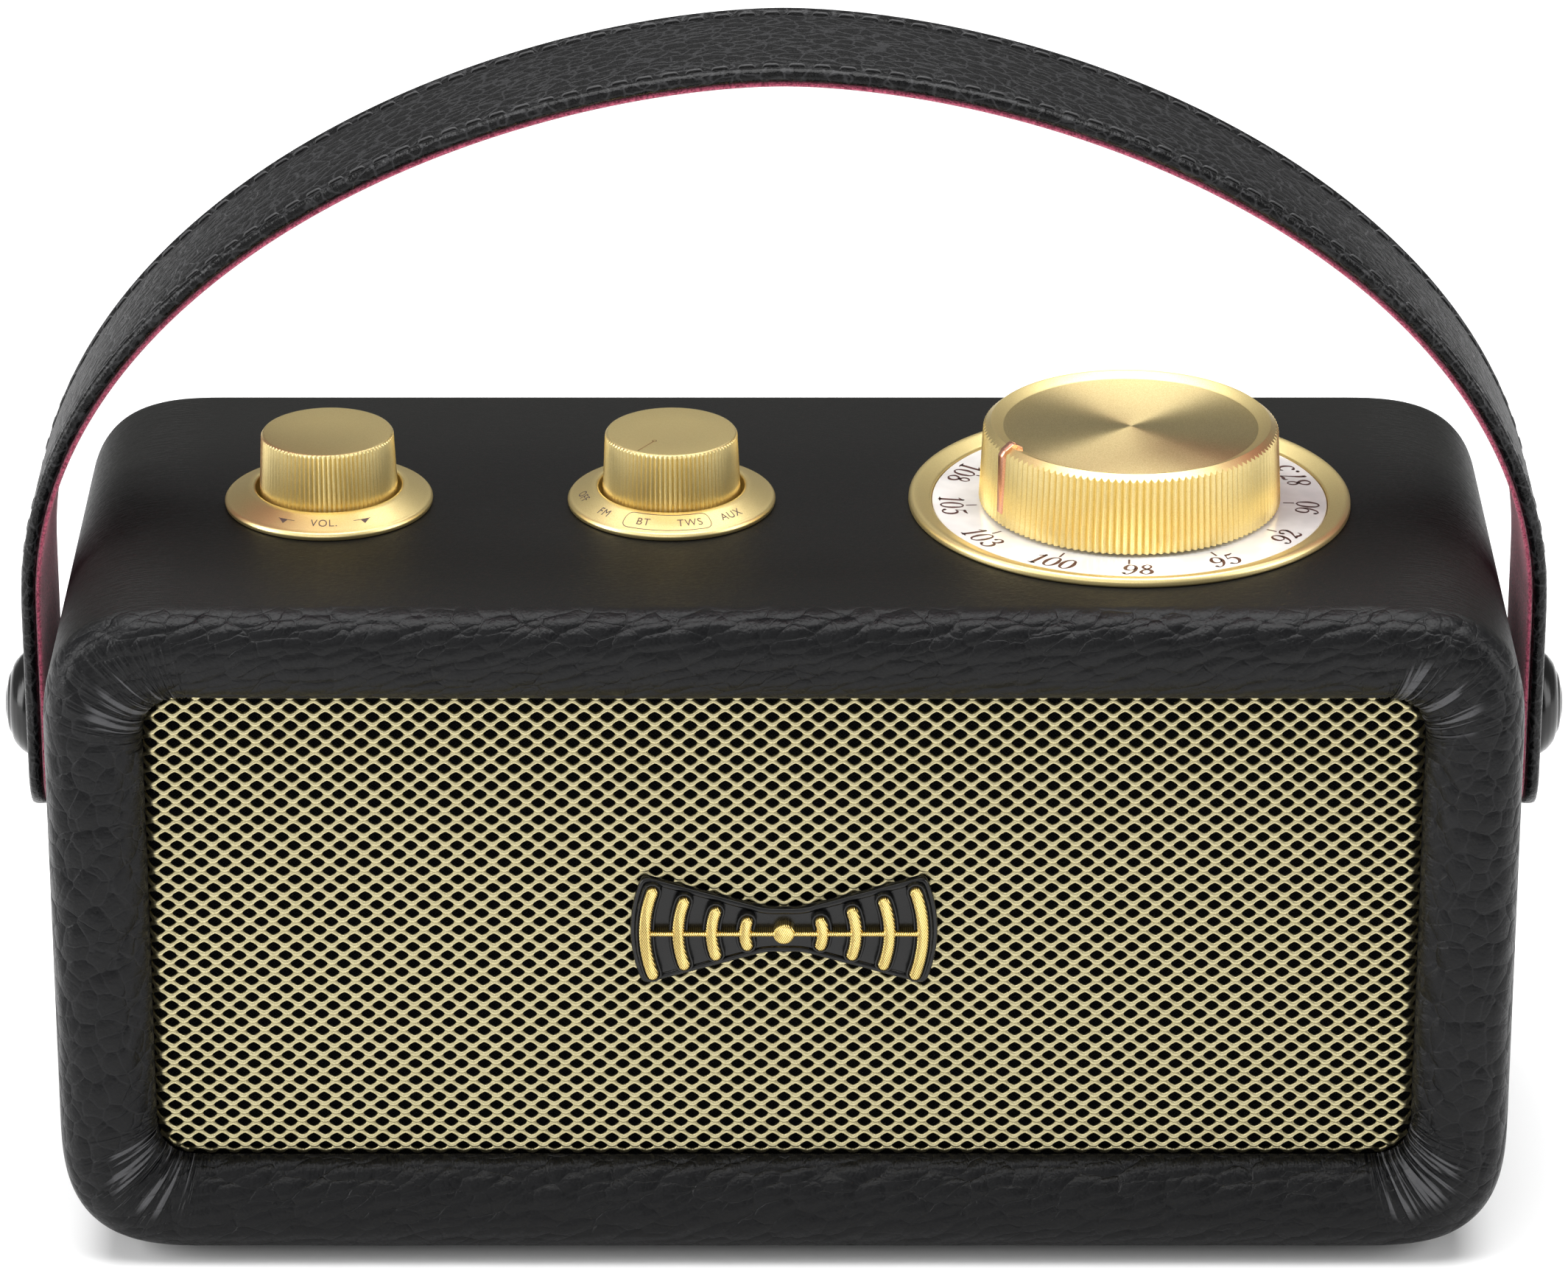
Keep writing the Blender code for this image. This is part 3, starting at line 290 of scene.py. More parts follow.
def strap_hide():
    """Pebbled black hide, with the grain's lines paler than its bumps."""
    material, tree, shader = new_material("strap_hide")
    flow = attribute(tree, "flow", "Vector")
    coords = object_coords(tree)
    lengthwise = stretched(tree, warped(tree, flow, 2.4 * MM, 1.3 * MM), (0.62, 1.0, 1.0))
    wide = cell_edges(tree, lengthwise, 1.35 * MM)
    small = cell_edges(tree, warped(tree, flow, 1.0 * MM, 0.6 * MM), 0.62 * MM)
    crack = mapped(tree, wide, 0.0, 0.10)
    pillow = mapped(tree, wide, 0.0, 0.45)
    fine = mapped(tree, small, 0.0, 0.14)
    pores = noise_of(tree, coords, 0.15 * MM, 2.0).outputs["Fac"]
    height = maths(tree, "ADD", maths(tree, "MULTIPLY", pillow, 0.7), maths(tree, "MULTIPLY", crack, 0.5))
    height = maths(tree, "ADD", height, maths(tree, "MULTIPLY", fine, 0.25))
    height = maths(tree, "MULTIPLY", height, maths(tree, "SUBTRACT", 1.0, attribute(tree, "edge")))
    gathers = noise_of(tree, stretched(tree, flow, (1.0, 0.2, 1.0)), 0.55 * MM, 2.0).outputs["Fac"]
    gathers = maths(tree, "MULTIPLY", gathers, attribute(tree, "edge"))
    normal = bump(tree, height, 0.15 * MM)
    normal = bump(tree, gathers, 0.14 * MM, normal)
    normal = bump(tree, pores, 0.018 * MM, normal)
    tree.links.new(normal, shader.inputs["Normal"])
    paler_crease_lines = maths(tree, "MULTIPLY", maths(tree, "SUBTRACT", 1.0, crack), 0.5)
    base = colour_mix(tree, paler_crease_lines, (0.0018, 0.0018, 0.0020), (0.040, 0.040, 0.042))
    tree.links.new(base, shader.inputs["Base Color"])
    rolled = maths(tree, "MULTIPLY", attribute(tree, "edge"), 0.12)
    gloss = maths(tree, "SUBTRACT", mapped(tree, pores, 0.3, 0.7, 0.36, 0.48), rolled)
    tree.links.new(gloss, shader.inputs["Roughness"])
    shader.inputs["Specular IOR Level"].default_value = 0.19
    return material


def felt():
    material, tree, shader = new_material("felt_lining")
    coords = object_coords(tree)
    fibres = noise_of(tree, warped(tree, coords, 0.8 * MM, 0.5 * MM), 0.28 * MM, 4.0, 0.7).outputs["Fac"]
    clumps = noise_of(tree, coords, 0.9 * MM, 3.0).outputs["Fac"]
    base = colour_mix(tree, mapped(tree, fibres, 0.36, 0.62), (0.16, 0.012, 0.035), (0.62, 0.115, 0.200))
    base = colour_mix(tree, mapped(tree, clumps, 0.55, 0.75, 0.0, 0.5), base, (0.30, 0.030, 0.065))
    tree.links.new(base, shader.inputs["Base Color"])
    normal = bump(tree, fibres, 0.16 * MM)
    tree.links.new(bump(tree, clumps, 0.10 * MM, normal), shader.inputs["Normal"])
    shader.inputs["Roughness"].default_value = 0.95
    shader.inputs["Sheen Weight"].default_value = 0.45
    shader.inputs["Sheen Roughness"].default_value = 0.5
    shader.inputs["Specular IOR Level"].default_value = 0.2
    return material


def blasted_metal(name, colour, deep, roughness, speckle=0.003 * MM):
    """Bead-blasted metal, with a fine frosting and a slow change of tone."""
    material, tree, shader = new_material(name)
    coords = object_coords(tree)
    frost = noise_of(tree, coords, 0.11 * MM, 3.0, 0.65).outputs["Fac"]
    slow = noise_of(tree, coords, 4.0 * MM, 2.0).outputs["Fac"]
    base = colour_mix(tree, mapped(tree, frost, 0.3, 0.7), deep, colour)
    base = colour_mix(tree, mapped(tree, slow, 0.4, 0.8, 0.0, 0.25), base, deep)
    tree.links.new(base, shader.inputs["Base Color"])
    spread = mapped(tree, frost, 0.3, 0.7, roughness + 0.05, roughness - 0.05)
    tree.links.new(spread, shader.inputs["Roughness"])
    tree.links.new(bump(tree, frost, speckle), shader.inputs["Normal"])
    shader.inputs["Metallic"].default_value = 1.0
    return material


def turned_disc_metal(name, colour, deep, ring_pitch):
    """Metal faced on a lathe: fine rings, and highlights that open out from the middle."""
    material, tree, shader = new_material(name)
    coords = object_coords(tree)
    flat = put(tree, "ShaderNodeVectorMath", {1: (1, 1, 0)}, {0: coords}, operation="MULTIPLY")
    length = put(tree, "ShaderNodeVectorMath", None, {0: flat.outputs[0]}, operation="LENGTH")
    radius = length.outputs["Value"]
    rings = maths(tree, "SINE", maths(tree, "MULTIPLY", radius, 2 * math.pi / ring_pitch))
    frost = noise_of(tree, coords, 0.12 * MM, 3.0, 0.6).outputs["Fac"]
    base = colour_mix(tree, mapped(tree, frost, 0.3, 0.7), deep, colour)
    tree.links.new(base, shader.inputs["Base Color"])
    normal = bump(tree, rings, 0.006 * MM)
    tree.links.new(bump(tree, frost, 0.006 * MM, normal), shader.inputs["Normal"])
    tangent = put(tree, "ShaderNodeTangent", direction_type="RADIAL", axis="Z")
    tree.links.new(tangent.outputs["Tangent"], shader.inputs["Tangent"])
    shader.inputs["Metallic"].default_value = 1.0
    shader.inputs["Roughness"].default_value = 0.46
    shader.inputs["Anisotropic"].default_value = 0.82
    shader.inputs["Anisotropic Rotation"].default_value = 0.25
    return material


def ribbed_metal(name, colour, deep, pitch):
    """Foil with fine slanting ribs."""
    material, tree, shader = new_material(name)
    coords = object_coords(tree)
    split = put(tree, "ShaderNodeSeparateXYZ", None, {"Vector": coords})
    slope = maths(tree, "ADD", split.outputs["X"], maths(tree, "MULTIPLY", split.outputs["Z"], 0.55))
    wave = maths(tree, "SINE", maths(tree, "MULTIPLY", slope, 2 * math.pi / pitch))
    # Painted shade: the colour darkens to deep in the ribs' grooves, where the bump sinks, and is palest on
    # their crests
    tree.links.new(colour_mix(tree, mapped(tree, wave, -0.6, 0.6), deep, colour), shader.inputs["Base Color"])
    tree.links.new(bump(tree, wave, 0.03 * MM), shader.inputs["Normal"])
    shader.inputs["Metallic"].default_value = 1.0
    shader.inputs["Roughness"].default_value = 0.30
    return material


def moulded(name, colour, roughness, texture=0.15 * MM, depth=0.01 * MM, coat=0.0, specular=0.5):
    """Plastic, rubber, paint or card: a slow change of tone and a fine moulded texture."""
    material, tree, shader = new_material(name)
    coords = object_coords(tree)
    fine = noise_of(tree, coords, texture, 3.0, 0.6).outputs["Fac"]
    slow = noise_of(tree, coords, 9.0 * MM, 3.0).outputs["Fac"]
    paler = tuple(min(c * 1.22 + 0.002, 1.0) for c in colour)
    darker = tuple(c * 0.86 for c in colour)
    base = colour_mix(tree, mapped(tree, slow, 0.3, 0.7), darker, paler)
    tree.links.new(base, shader.inputs["Base Color"])
    low, high = max(roughness - 0.04, 0.02), min(roughness + 0.05, 1.0)
    tree.links.new(mapped(tree, fine, 0.3, 0.7, low, high), shader.inputs["Roughness"])
    tree.links.new(bump(tree, fine, depth), shader.inputs["Normal"])
    shader.inputs["Coat Weight"].default_value = coat
    shader.inputs["Coat Roughness"].default_value = 0.04
    shader.inputs["Specular IOR Level"].default_value = specular
    return material


def bare_metal(name, colour, roughness, line=0.5 * MM, depth=0.002 * MM):
    """Machined or plated metal with faint marks."""
    material, tree, shader = new_material(name)
    coords = object_coords(tree)
    marks = noise_of(tree, stretched(tree, coords, (1.0, 6.0, 1.0)), line, 3.0).outputs["Fac"]
    darker = tuple(c * 0.9 for c in colour)
    tree.links.new(colour_mix(tree, marks, darker, colour), shader.inputs["Base Color"])
    spread = mapped(tree, marks, 0.3, 0.7, max(roughness - 0.03, 0.02), roughness + 0.04)
    tree.links.new(spread, shader.inputs["Roughness"])
    tree.links.new(bump(tree, marks, depth), shader.inputs["Normal"])
    shader.inputs["Metallic"].default_value = 1.0
    return material


def woven_black():
    """Acoustic cloth: a plain weave of fine black threads."""
    material, tree, shader = new_material("acoustic_weave")
    split = put(tree, "ShaderNodeSeparateXYZ", None, {"Vector": object_coords(tree)})
    thread = 2 * math.pi / (0.36 * MM)
    over = maths(tree, "SINE", maths(tree, "MULTIPLY", split.outputs["X"], thread))
    under = maths(tree, "SINE", maths(tree, "MULTIPLY", split.outputs["Z"], thread))
    weave = maths(tree, "MULTIPLY", over, under)
    # Painted shade: the hollows of the weave are painted darker and the raised thread crossings paler,
    # following the bump
    base = colour_mix(tree, mapped(tree, weave, -1.0, 1.0), (0.0015, 0.0015, 0.0015), (0.006, 0.006, 0.006))
    tree.links.new(base, shader.inputs["Base Color"])
    tree.links.new(bump(tree, weave, 0.06 * MM), shader.inputs["Normal"])
    shader.inputs["Roughness"].default_value = 0.95
    shader.inputs["Specular IOR Level"].default_value = 0.1
    return material


GOLD = (0.93, 0.77, 0.38)
GOLD_DEEP = (0.82, 0.66, 0.29)
MATERIALS = {
    "leather": cover_leather(),
    "strap_leather": strap_hide(),
    "felt": felt(),
    "foam": moulded("open_foam", (0.10, 0.10, 0.11), 0.95, 0.5 * MM, 0.15 * MM),
    "shell_plastic": moulded("black_moulding", (0.030, 0.030, 0.032), 0.55),
    "rear_plastic": moulded("textured_black", (0.020, 0.020, 0.021), 0.52, 0.22 * MM, 0.030 * MM),
    "baffle_board": moulded("fibre_board", (0.36, 0.26, 0.16), 0.85, 0.4 * MM, 0.05 * MM),
    "grille_gold": blasted_metal("champagne_mesh", (0.60, 0.54, 0.33), (0.42, 0.37, 0.20), 0.33),
    "acoustic_cloth": woven_black(),
    "gloss_black": moulded("gloss_black", (0.003, 0.003, 0.003), 0.22, 0.3 * MM, 0.001 * MM, specular=0.30),
    "badge_gold": ribbed_metal("badge_gold", (0.98, 0.80, 0.34), (0.50, 0.32, 0.07), 0.21 * MM),
    "black_screw": bare_metal("black_screw", (0.05, 0.05, 0.052), 0.38),
    "foot_rubber": moulded("foot_rubber", (0.020, 0.020, 0.020), 0.85, 0.2 * MM, 0.02 * MM),
    "washer_nylon": moulded("nylon", (0.02, 0.02, 0.02), 0.5),
    "bezel_gold": blasted_metal("bezel_gold", GOLD, GOLD_DEEP, 0.40),
    "knob_gold": blasted_metal("knob_gold", GOLD, GOLD_DEEP, 0.40),
    "knob_disc": turned_disc_metal("faced_gold", (0.86, 0.73, 0.40), (0.70, 0.56, 0.26), 0.19 * MM),
    "dial_white": moulded("dial_white", (0.80, 0.80, 0.79), 0.18, 0.4 * MM, 0.0005 * MM, coat=1.0),
    "dial_ink": moulded("dial_ink", (0.075, 0.026, 0.022), 0.45, 0.1 * MM, 0.002 * MM),
    "label_ink": moulded("label_ink", (0.075, 0.045, 0.040), 0.50, 0.1 * MM, 0.002 * MM),
    "pointer_copper": blasted_metal("copper", (0.90, 0.50, 0.36), (0.70, 0.34, 0.22), 0.34),
    "thread": moulded("black_thread", (0.022, 0.022, 0.023), 0.55, 0.12 * MM, 0.03 * MM),
    "mark_gold": moulded("mark_gold", (0.26, 0.15, 0.045), 0.45, 0.1 * MM, 0.002 * MM),
    "steel": bare_metal("steel", (0.55, 0.55, 0.57), 0.32),
    "brass_nut": bare_metal("brass", (0.70, 0.52, 0.24), 0.30),
    "magnet": moulded("ferrite", (0.05, 0.05, 0.055), 0.60, 0.2 * MM, 0.02 * MM),
    "cone_paper": moulded("cone_paper", (0.05, 0.05, 0.05), 0.90, 0.4 * MM, 0.06 * MM),
    "surround_rubber": moulded("surround_rubber", (0.02, 0.02, 0.02), 0.6),
    "circuit_board": moulded("circuit_board", (0.02, 0.15, 0.06), 0.40, 0.6 * MM, 0.01 * MM),
    "battery_wrap": moulded("battery_wrap", (0.08, 0.20, 0.45), 0.32, 0.5 * MM, 0.005 * MM),
    "antenna_chrome": bare_metal("antenna_chrome", (0.82, 0.82, 0.84), 0.08),
}
for part in frame["record"]["subparts"]:
    slots = frame["nodes"][part["node"]].data.materials
    slots.clear()
    slots.append(MATERIALS[part["material_slot"]])


# --- Mesh helpers ----------------------------------------------------------------------------
def add_piece(name, points, faces, slot, body, place=None, sharp=30.0):
    """A piece with its own mesh, material and CAD body. Edges sharper than sharp degrees stay crisp."""
    mesh = bpy.data.meshes.new(name)
    mesh.from_pydata([tuple(p) for p in points], [], [tuple(f) for f in faces])
    bm = bmesh.new()
    bm.from_mesh(mesh)
    bmesh.ops.remove_doubles(bm, verts=bm.verts, dist=1e-6)
    bm.to_mesh(mesh)
    bm.free()
    mesh.update()
    mesh.shade_smooth()
    mesh.set_sharp_from_angle(angle=math.radians(sharp))
    mesh.materials.clear()
    mesh.materials.append(MATERIALS[slot])
    obj = bpy.data.objects.new(name, mesh)
    bpy.context.scene.collection.objects.link(obj)
    if place is not None:
        obj.matrix_world = place if isinstance(place, Matrix) else Matrix.Translation(place)
    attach(obj, body)
    return obj


def grid_faces(rows, columns, wrap_rows=False, wrap_columns=True):
    """Quads over a grid of points that is stored row by row."""
    i = np.arange(rows if wrap_rows else rows - 1)
    j = np.arange(columns if wrap_columns else columns - 1)
    i, j = (a.ravel() for a in np.meshgrid(i, j, indexing="ij"))
    i_next = (i + 1) % rows
    j_next = (j + 1) % columns
    corners = (i * columns + j, i * columns + j_next, i_next * columns + j_next, i_next * columns + j)
    return np.stack(corners, -1).tolist()


def rounded(points, radius, steps=4, closed=False):
    """A polyline whose corners are cut off and replaced by small curves."""
    points = [np.array(p, float) for p in points]
    count = len(points)
    made = []
    for index, here in enumerate(points):
        if not closed and index in (0, count - 1):
            made.append(here)
            continue
        before = points[index - 1]
        after = points[(index + 1) % count]
        to_before, to_after = before - here, after - here
        cut = min(radius, 0.45 * np.linalg.norm(to_before), 0.45 * np.linalg.norm(to_after))
        start = here + to_before / np.linalg.norm(to_before) * cut
        end = here + to_after / np.linalg.norm(to_after) * cut
        for step in range(steps + 1):
            t = step / steps
            made.append((1 - t) ** 2 * start + 2 * t * (1 - t) * here + t * t * end)
    return made


def turned(name, profile, slot, body, place, steps=128, closed=False, soften=0.12 * MM, sharp=30.0):
    """A turned piece about +Z; profile is (radius, height) down the outer side."""
    profile = rounded(profile, soften, closed=closed) if soften else profile
    turn = np.linspace(0, 2 * math.pi, steps, endpoint=False)
    rows = [np.stack([r * np.cos(turn), r * np.sin(turn), np.full(steps, z)], -1) for r, z in profile]
    faces = [tuple(reversed(f)) for f in grid_faces(len(profile), steps, wrap_rows=closed)]
    return add_piece(name, np.concatenate(rows), faces, slot, body, place, sharp)


def rectangle(half_x, half_y):
    return [(half_x, -half_y), (half_x, half_y), (-half_x, half_y), (-half_x, -half_y)]


def along(axis, position):
    """A place whose local +Z points along axis."""
    turn = Vector((0, 0, 1)).rotation_difference(Vector(axis)).to_matrix().to_4x4()
    return Matrix.Translation(position) @ turn


def smooth_path(points, samples, start_slope, end_slope):
    """A smooth curve through points, with the given directions at its ends."""
    points = np.array(points, float)
    lengths = np.linalg.norm(np.diff(points, axis=0), axis=1)
    run = np.concatenate([[0], np.cumsum(lengths)])
    slopes = np.zeros_like(points)
    slopes[0] = start_slope
    slopes[-1] = end_slope
    for i in range(1, len(points) - 1):
        before = (points[i] - points[i - 1]) / lengths[i - 1]
        after = (points[i + 1] - points[i]) / lengths[i]
        weight = lengths[i - 1] / (lengths[i - 1] + lengths[i])
        slopes[i] = before * (1 - weight) + after * weight
    made = []
    for s in np.linspace(0, run[-1], samples):
        i = min(int(np.searchsorted(run, s, side="right")) - 1, len(lengths) - 1)
        span = lengths[i]
        t = (s - run[i]) / span
        made.append(
            points[i] * (1 + 2 * t) * (1 - t) ** 2
            + slopes[i] * span * t * (1 - t) ** 2
            + points[i + 1] * t * t * (3 - 2 * t)
            + slopes[i + 1] * span * t * t * (t - 1)
        )
    return np.array(made)


def set_attribute(obj, name, values):
    values = np.asarray(values, np.float32)
    if values.ndim == 1:
        obj.data.attributes.new(name, "FLOAT", "POINT").data.foreach_set("value", values)
    else:
        obj.data.attributes.new(name, "FLOAT_VECTOR", "POINT").data.foreach_set("vector", values.ravel())


# --- The cabinet's outline -------------------------------------------------------------------
def cabinet_frame(corner_samples, long_samples, short_samples):
    """Base points and directions round the cabinet, anticlockwise from the right as seen from the front.

    A point of the outline moved in by inset is base + (CORNER_REACH - inset) * direction.
    """
    turn = np.linspace(0, math.pi / 2, corner_samples)
    shrink = (np.cos(turn) ** CORNER_POWER + np.sin(turn) ** CORNER_POWER) ** (1 / CORNER_POWER)
    quarter = np.stack([np.cos(turn) / shrink, np.sin(turn) / shrink], -1)
    centre = np.array([HALF_W - CORNER_REACH, HALF_H - CORNER_REACH])
    signs = [(1, 1), (-1, 1), (-1, -1), (1, -1)]
    bases, directions = [], []
    for index, sign in enumerate(signs):
        arm = quarter if sign[0] * sign[1] > 0 else quarter[::-1]
        here = centre * sign
        there = centre * signs[(index + 1) % 4]
        samples = long_samples if index % 2 == 0 else short_samples
        bases.extend([here] * corner_samples)
        directions.extend(arm * sign)
        for step in range(1, samples + 1):
            bases.append(here + (there - here) * step / (samples + 1))
            directions.append(arm[-1] * sign)
    return np.array(bases), np.array(directions)


def cabinet_loop(bases, directions, inset, depth):
    flat = bases + (CORNER_REACH - inset) * directions
    return np.stack([flat[:, 0], np.full(len(flat), FRONT_Y + depth), MID_Z + flat[:, 1]], -1)


def inset_of(x, z):
    """How far inside the cabinet's outline a point of the front lies."""
    dx = np.abs(x) - (HALF_W - CORNER_REACH)
    dz = np.abs(z - MID_Z) - (HALF_H - CORNER_REACH)
    corner = (np.maximum(dx, 0) ** CORNER_POWER + np.maximum(dz, 0) ** CORNER_POWER) ** (1 / CORNER_POWER)
    reach = np.where((dx > 0) & (dz > 0), corner, np.maximum(dx, dz))
    return CORNER_REACH - reach


# --- Leather cover ---------------------------------------------------------------------------
CORNER_SAMPLES = 150
CREASES = 28


def open_well(points, faces, axis, radius):
    """Opens a round hole in the top under a bezel, and draws its edge onto the circle."""
    on_top = points[:, 2] > TOP_Z - 3.0 * MM
    away = points[:, :2] - np.array(axis[:2])
    distance = np.linalg.norm(away, axis=1)
    inside = on_top & (distance < radius)
    kept = faces[~inside[faces].all(axis=1)]
    edge = np.unique(kept[inside[kept]])
    points[edge, :2] = np.array(axis[:2]) + away[edge] / distance[edge, None] * radius
    return kept


def add_cover():
    bases, directions = cabinet_frame(CORNER_SAMPLES, 150, 60)
    rear = smooth_path([(i * MM, BODY_D - d * MM) for i, d in REAR_PATH], 16, (-0.1, 1.0), (0.0, -1.0))
    front = smooth_path([(i * MM, d * MM) for i, d in FRONT_PATH], 50, (0.0, -1.0), (0.05, 1.0))
    side = [np.array([0.0, d]) for d in np.linspace(rear[-1][1], front[0][1], 14)[1:-1]]
    path = np.array([*rear, *side, *front])
    steps = np.linalg.norm(np.diff(path, axis=0), axis=1)
    run = np.concatenate([[0], np.cumsum(steps)])
    rows = np.stack([cabinet_loop(bases, directions, inset, depth) for inset, depth in path])

    along_row = np.roll(rows, -1, axis=1) - np.roll(rows, 1, axis=1)
    down_rows = np.gradient(rows, axis=0)
    normals = np.cross(along_row, down_rows)
    normals /= np.linalg.norm(normals, axis=2, keepdims=True)
    outward = np.einsum("ijk,ijk->ij", normals, rows - np.array([0, (FRONT_Y + REAR_Y) / 2, MID_Z]))
    normals *= np.sign(outward.mean())

    height = crease_heights(rows, path, run)
    skin = rows + normals * height[:, :, None]
    path_slopes = np.gradient(path, axis=0)
    path_slopes /= np.linalg.norm(path_slopes, axis=1, keepdims=True)
    inner_path = path + np.stack([-path_slopes[:, 1], path_slopes[:, 0]], -1) * LEATHER_T
    if inner_path[len(inner_path) // 2][0] < 0:
        inner_path = 2 * path - inner_path
    lining = [cabinet_loop(bases, directions, *inner_path[i]) for i in range(len(path) - 1, -1, -4)]
    points = np.concatenate([skin.reshape(-1, 3), np.concatenate(lining)])
    columns = len(bases)
    faces = np.array(grid_faces(len(path) + len(lining), columns, wrap_rows=True))
    for axis, radius in ((VOLUME_AXIS, 9.4 * MM), (FUNCTION_AXIS, 9.4 * MM), (TUNING_AXIS, 23.0 * MM)):
        faces = open_well(points, faces, axis, radius)

    flat_run = np.concatenate([[0], np.cumsum(np.linalg.norm(np.diff(rows[len(rear)], axis=0), axis=1))])
    total = len(points)
    smooth_zone = np.zeros(total)
    shoulder = np.zeros(total)
    lip = np.zeros(total)
    level = np.zeros(total)
    gather = np.zeros(total)
    flow = np.zeros((total, 3))
    count = len(path) * columns
    depth_along = np.repeat(path[:, 1], columns)
    inset_along = np.repeat(path[:, 0], columns)
    up = np.tile(directions[:, 1], len(path))
    slant = np.tile(np.minimum(np.abs(directions[:, 0]), np.abs(directions[:, 1])), len(path))
    on_side = np.clip((depth_along - 2.4 * MM) / (2.0 * MM), 0, 1) * (inset_along < 1.0 * MM)
    smooth_zone[:count] = on_side * np.clip((up - 0.45) / 0.4, 0, 1)
    shoulder[:count] = on_side * np.clip(slant / 0.5, 0, 1) * (up > 0)
    lip[:count] = np.clip((inset_along - 9.2 * MM) / (0.8 * MM), 0, 1) * (depth_along < BODY_D / 2)
    level[:count] = np.clip((np.abs(up) - 0.62) / 0.3, 0, 1)
    near_lip = np.clip((inset_along - 0.8 * MM) / (5.0 * MM), 0, 1) * (depth_along < BODY_D / 2)
    gather[:count] = near_lip * np.clip((slant - 0.08) / 0.30, 0, 1)
    flow[:count, 0] = np.tile(flat_run, len(path))
    flow[:count, 1] = np.repeat(run, columns)

    used = np.unique(faces)
    renumber = np.full(total, -1)
    renumber[used] = np.arange(len(used))
    mesh = bpy.data.meshes.new("leather_skin")
    mesh.from_pydata(points[used].tolist(), [], renumber[faces].tolist())
    mesh.materials.append(MATERIALS["leather"])
    mesh.shade_smooth()
    skin = bpy.data.objects.new("leather_skin", mesh)
    bpy.context.scene.collection.objects.link(skin)
    zones = {"smooth_zone": smooth_zone, "shoulder": shoulder, "lip": lip, "level": level}
    zones |= {"gather": gather, "flow": flow}
    for name, values in zones.items():
        set_attribute(skin, name, values[used])
    outward_faces(mesh)
    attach(skin, "cabinet")
    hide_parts("leather_cover")


def outward_faces(mesh):
    bm = bmesh.new()
    bm.from_mesh(mesh)
    bmesh.ops.recalc_face_normals(bm, faces=bm.faces)
    bm.to_mesh(mesh)
    bm.free()


def crease_heights(rows, path, run):
    """How far the hide rises over the loft: soft lumps on the front, and gathers at the corners."""
    dice = random.Random(7)
    row_count, column_count = rows.shape[:2]
    height = np.zeros((row_count, column_count))
    front_rows = [i for i in range(row_count) if path[i, 1] < 5.0 * MM and run[i] > 30 * MM]
    for i in front_rows:
        fade = min(1.0, path[i, 0] / (1.5 * MM))
        for j in range(column_count):
            point = Vector(rows[i, j])
            height[i, j] = 0.07 * MM * fade * noise.noise(point * 160.0)
    turn = np.linspace(0, math.pi / 2, CORNER_SAMPLES)
    lip_run = run[-1]
    from_lip = lip_run - run
    starts = [0, CORNER_SAMPLES + 150, 2 * CORNER_SAMPLES + 210, 3 * CORNER_SAMPLES + 360]
    for corner, start in enumerate(starts):
        for number in range(CREASES):
            middle = (number + 0.5 + dice.uniform(-0.32, 0.32)) / CREASES * math.pi / 2
            reach = dice.uniform(4.0, 8.0) * MM * (0.55 + 0.45 * math.sin(2 * middle))
            width = dice.uniform(0.09, 0.15) * MM
            depth = dice.uniform(0.12, 0.28) * MM
            bend = dice.uniform(-0.05, 0.05)
            for i in front_rows:
                if from_lip[i] > reach or path[i, 0] < 1.2 * MM:
                    continue
                radius = CORNER_REACH - path[i, 0]
                centre = middle + bend * from_lip[i] / (5.0 * MM)
                spread = width * (1.0 + 0.8 * from_lip[i] / reach)
                offset = (turn - centre) * radius * 1.1
                fade = (1 - from_lip[i] / reach) ** 0.7 * min(1.0, (from_lip[i] + 0.2 * MM) / (0.8 * MM))
                groove = np.exp(-((offset / spread) ** 2))
                ridge = np.exp(-(((offset - 1.7 * spread) / spread) ** 2))
                columns = (start + np.arange(CORNER_SAMPLES)) % column_count
                height[i, columns] += depth * fade * (0.35 * ridge - groove)
    return height


# --- Grille ----------------------------------------------------------------------------------
MESH_PITCH = 2.51 * MM
ROW_PITCH = 1.01 * MM
STRAND_RISE = 0.24 * MM
STRAND_HALF = 0.20 * MM
STRAND_BOND = 0.15 * MM
STRAND_DEPTH = 0.25 * MM
STRAND_PROUD = 0.08 * MM
STRAND_POINTS = 8
STRAND_STEPS = 12
GRILLE_EDGE = 10.2 * MM
GRILLE_ROLL = 11.5 * MM


def strand(row, face_y):
    """The points of one zigzag strand, as runs of cross-sections inside the opening."""
    z_middle = MID_Z + row * ROW_PITCH
    steps = int(2 * HALF_W / MESH_PITCH * STRAND_STEPS)
    x = (np.arange(steps + 1) - steps / 2) * MESH_PITCH / STRAND_STEPS
    phase = 2 * math.pi * x / MESH_PITCH + (math.pi if row % 2 else 0.0)
    z = z_middle + STRAND_RISE * (np.cos(phase) + 0.08 * np.cos(3 * phase))
    slope = np.gradient(z, x)
    length = np.sqrt(1 + slope**2)
    side_x, side_z = -slope / length, 1 / length
    upper = STRAND_HALF + STRAND_BOND * np.clip((np.cos(phase) - 0.15) / 0.5, 0, 1)
    lower = STRAND_HALF + STRAND_BOND * np.clip((-np.cos(phase) - 0.15) / 0.5, 0, 1)
    inset = inset_of(x, z)
    roll = np.clip((GRILLE_ROLL - inset) / (1.2 * MM), 0, 1)
    y = face_y + STRAND_DEPTH + 0.9 * MM * roll**2 + STRAND_PROUD * np.cos(phase)
    sections = []
    for turn in np.radians(np.linspace(-105, 105, STRAND_POINTS)):
        share = math.copysign(abs(math.sin(turn)) ** 0.8, turn)
        across = np.where(turn > 0, upper, lower) * share
        rise = STRAND_DEPTH * math.copysign(abs(math.cos(turn)) ** 0.6, math.cos(turn))
        sections.append(np.stack([x + side_x * across, y - rise + 0.25 * across, z + side_z * across], -1))
    sections = np.stack(sections, 1)
    return sections[inset > GRILLE_EDGE]


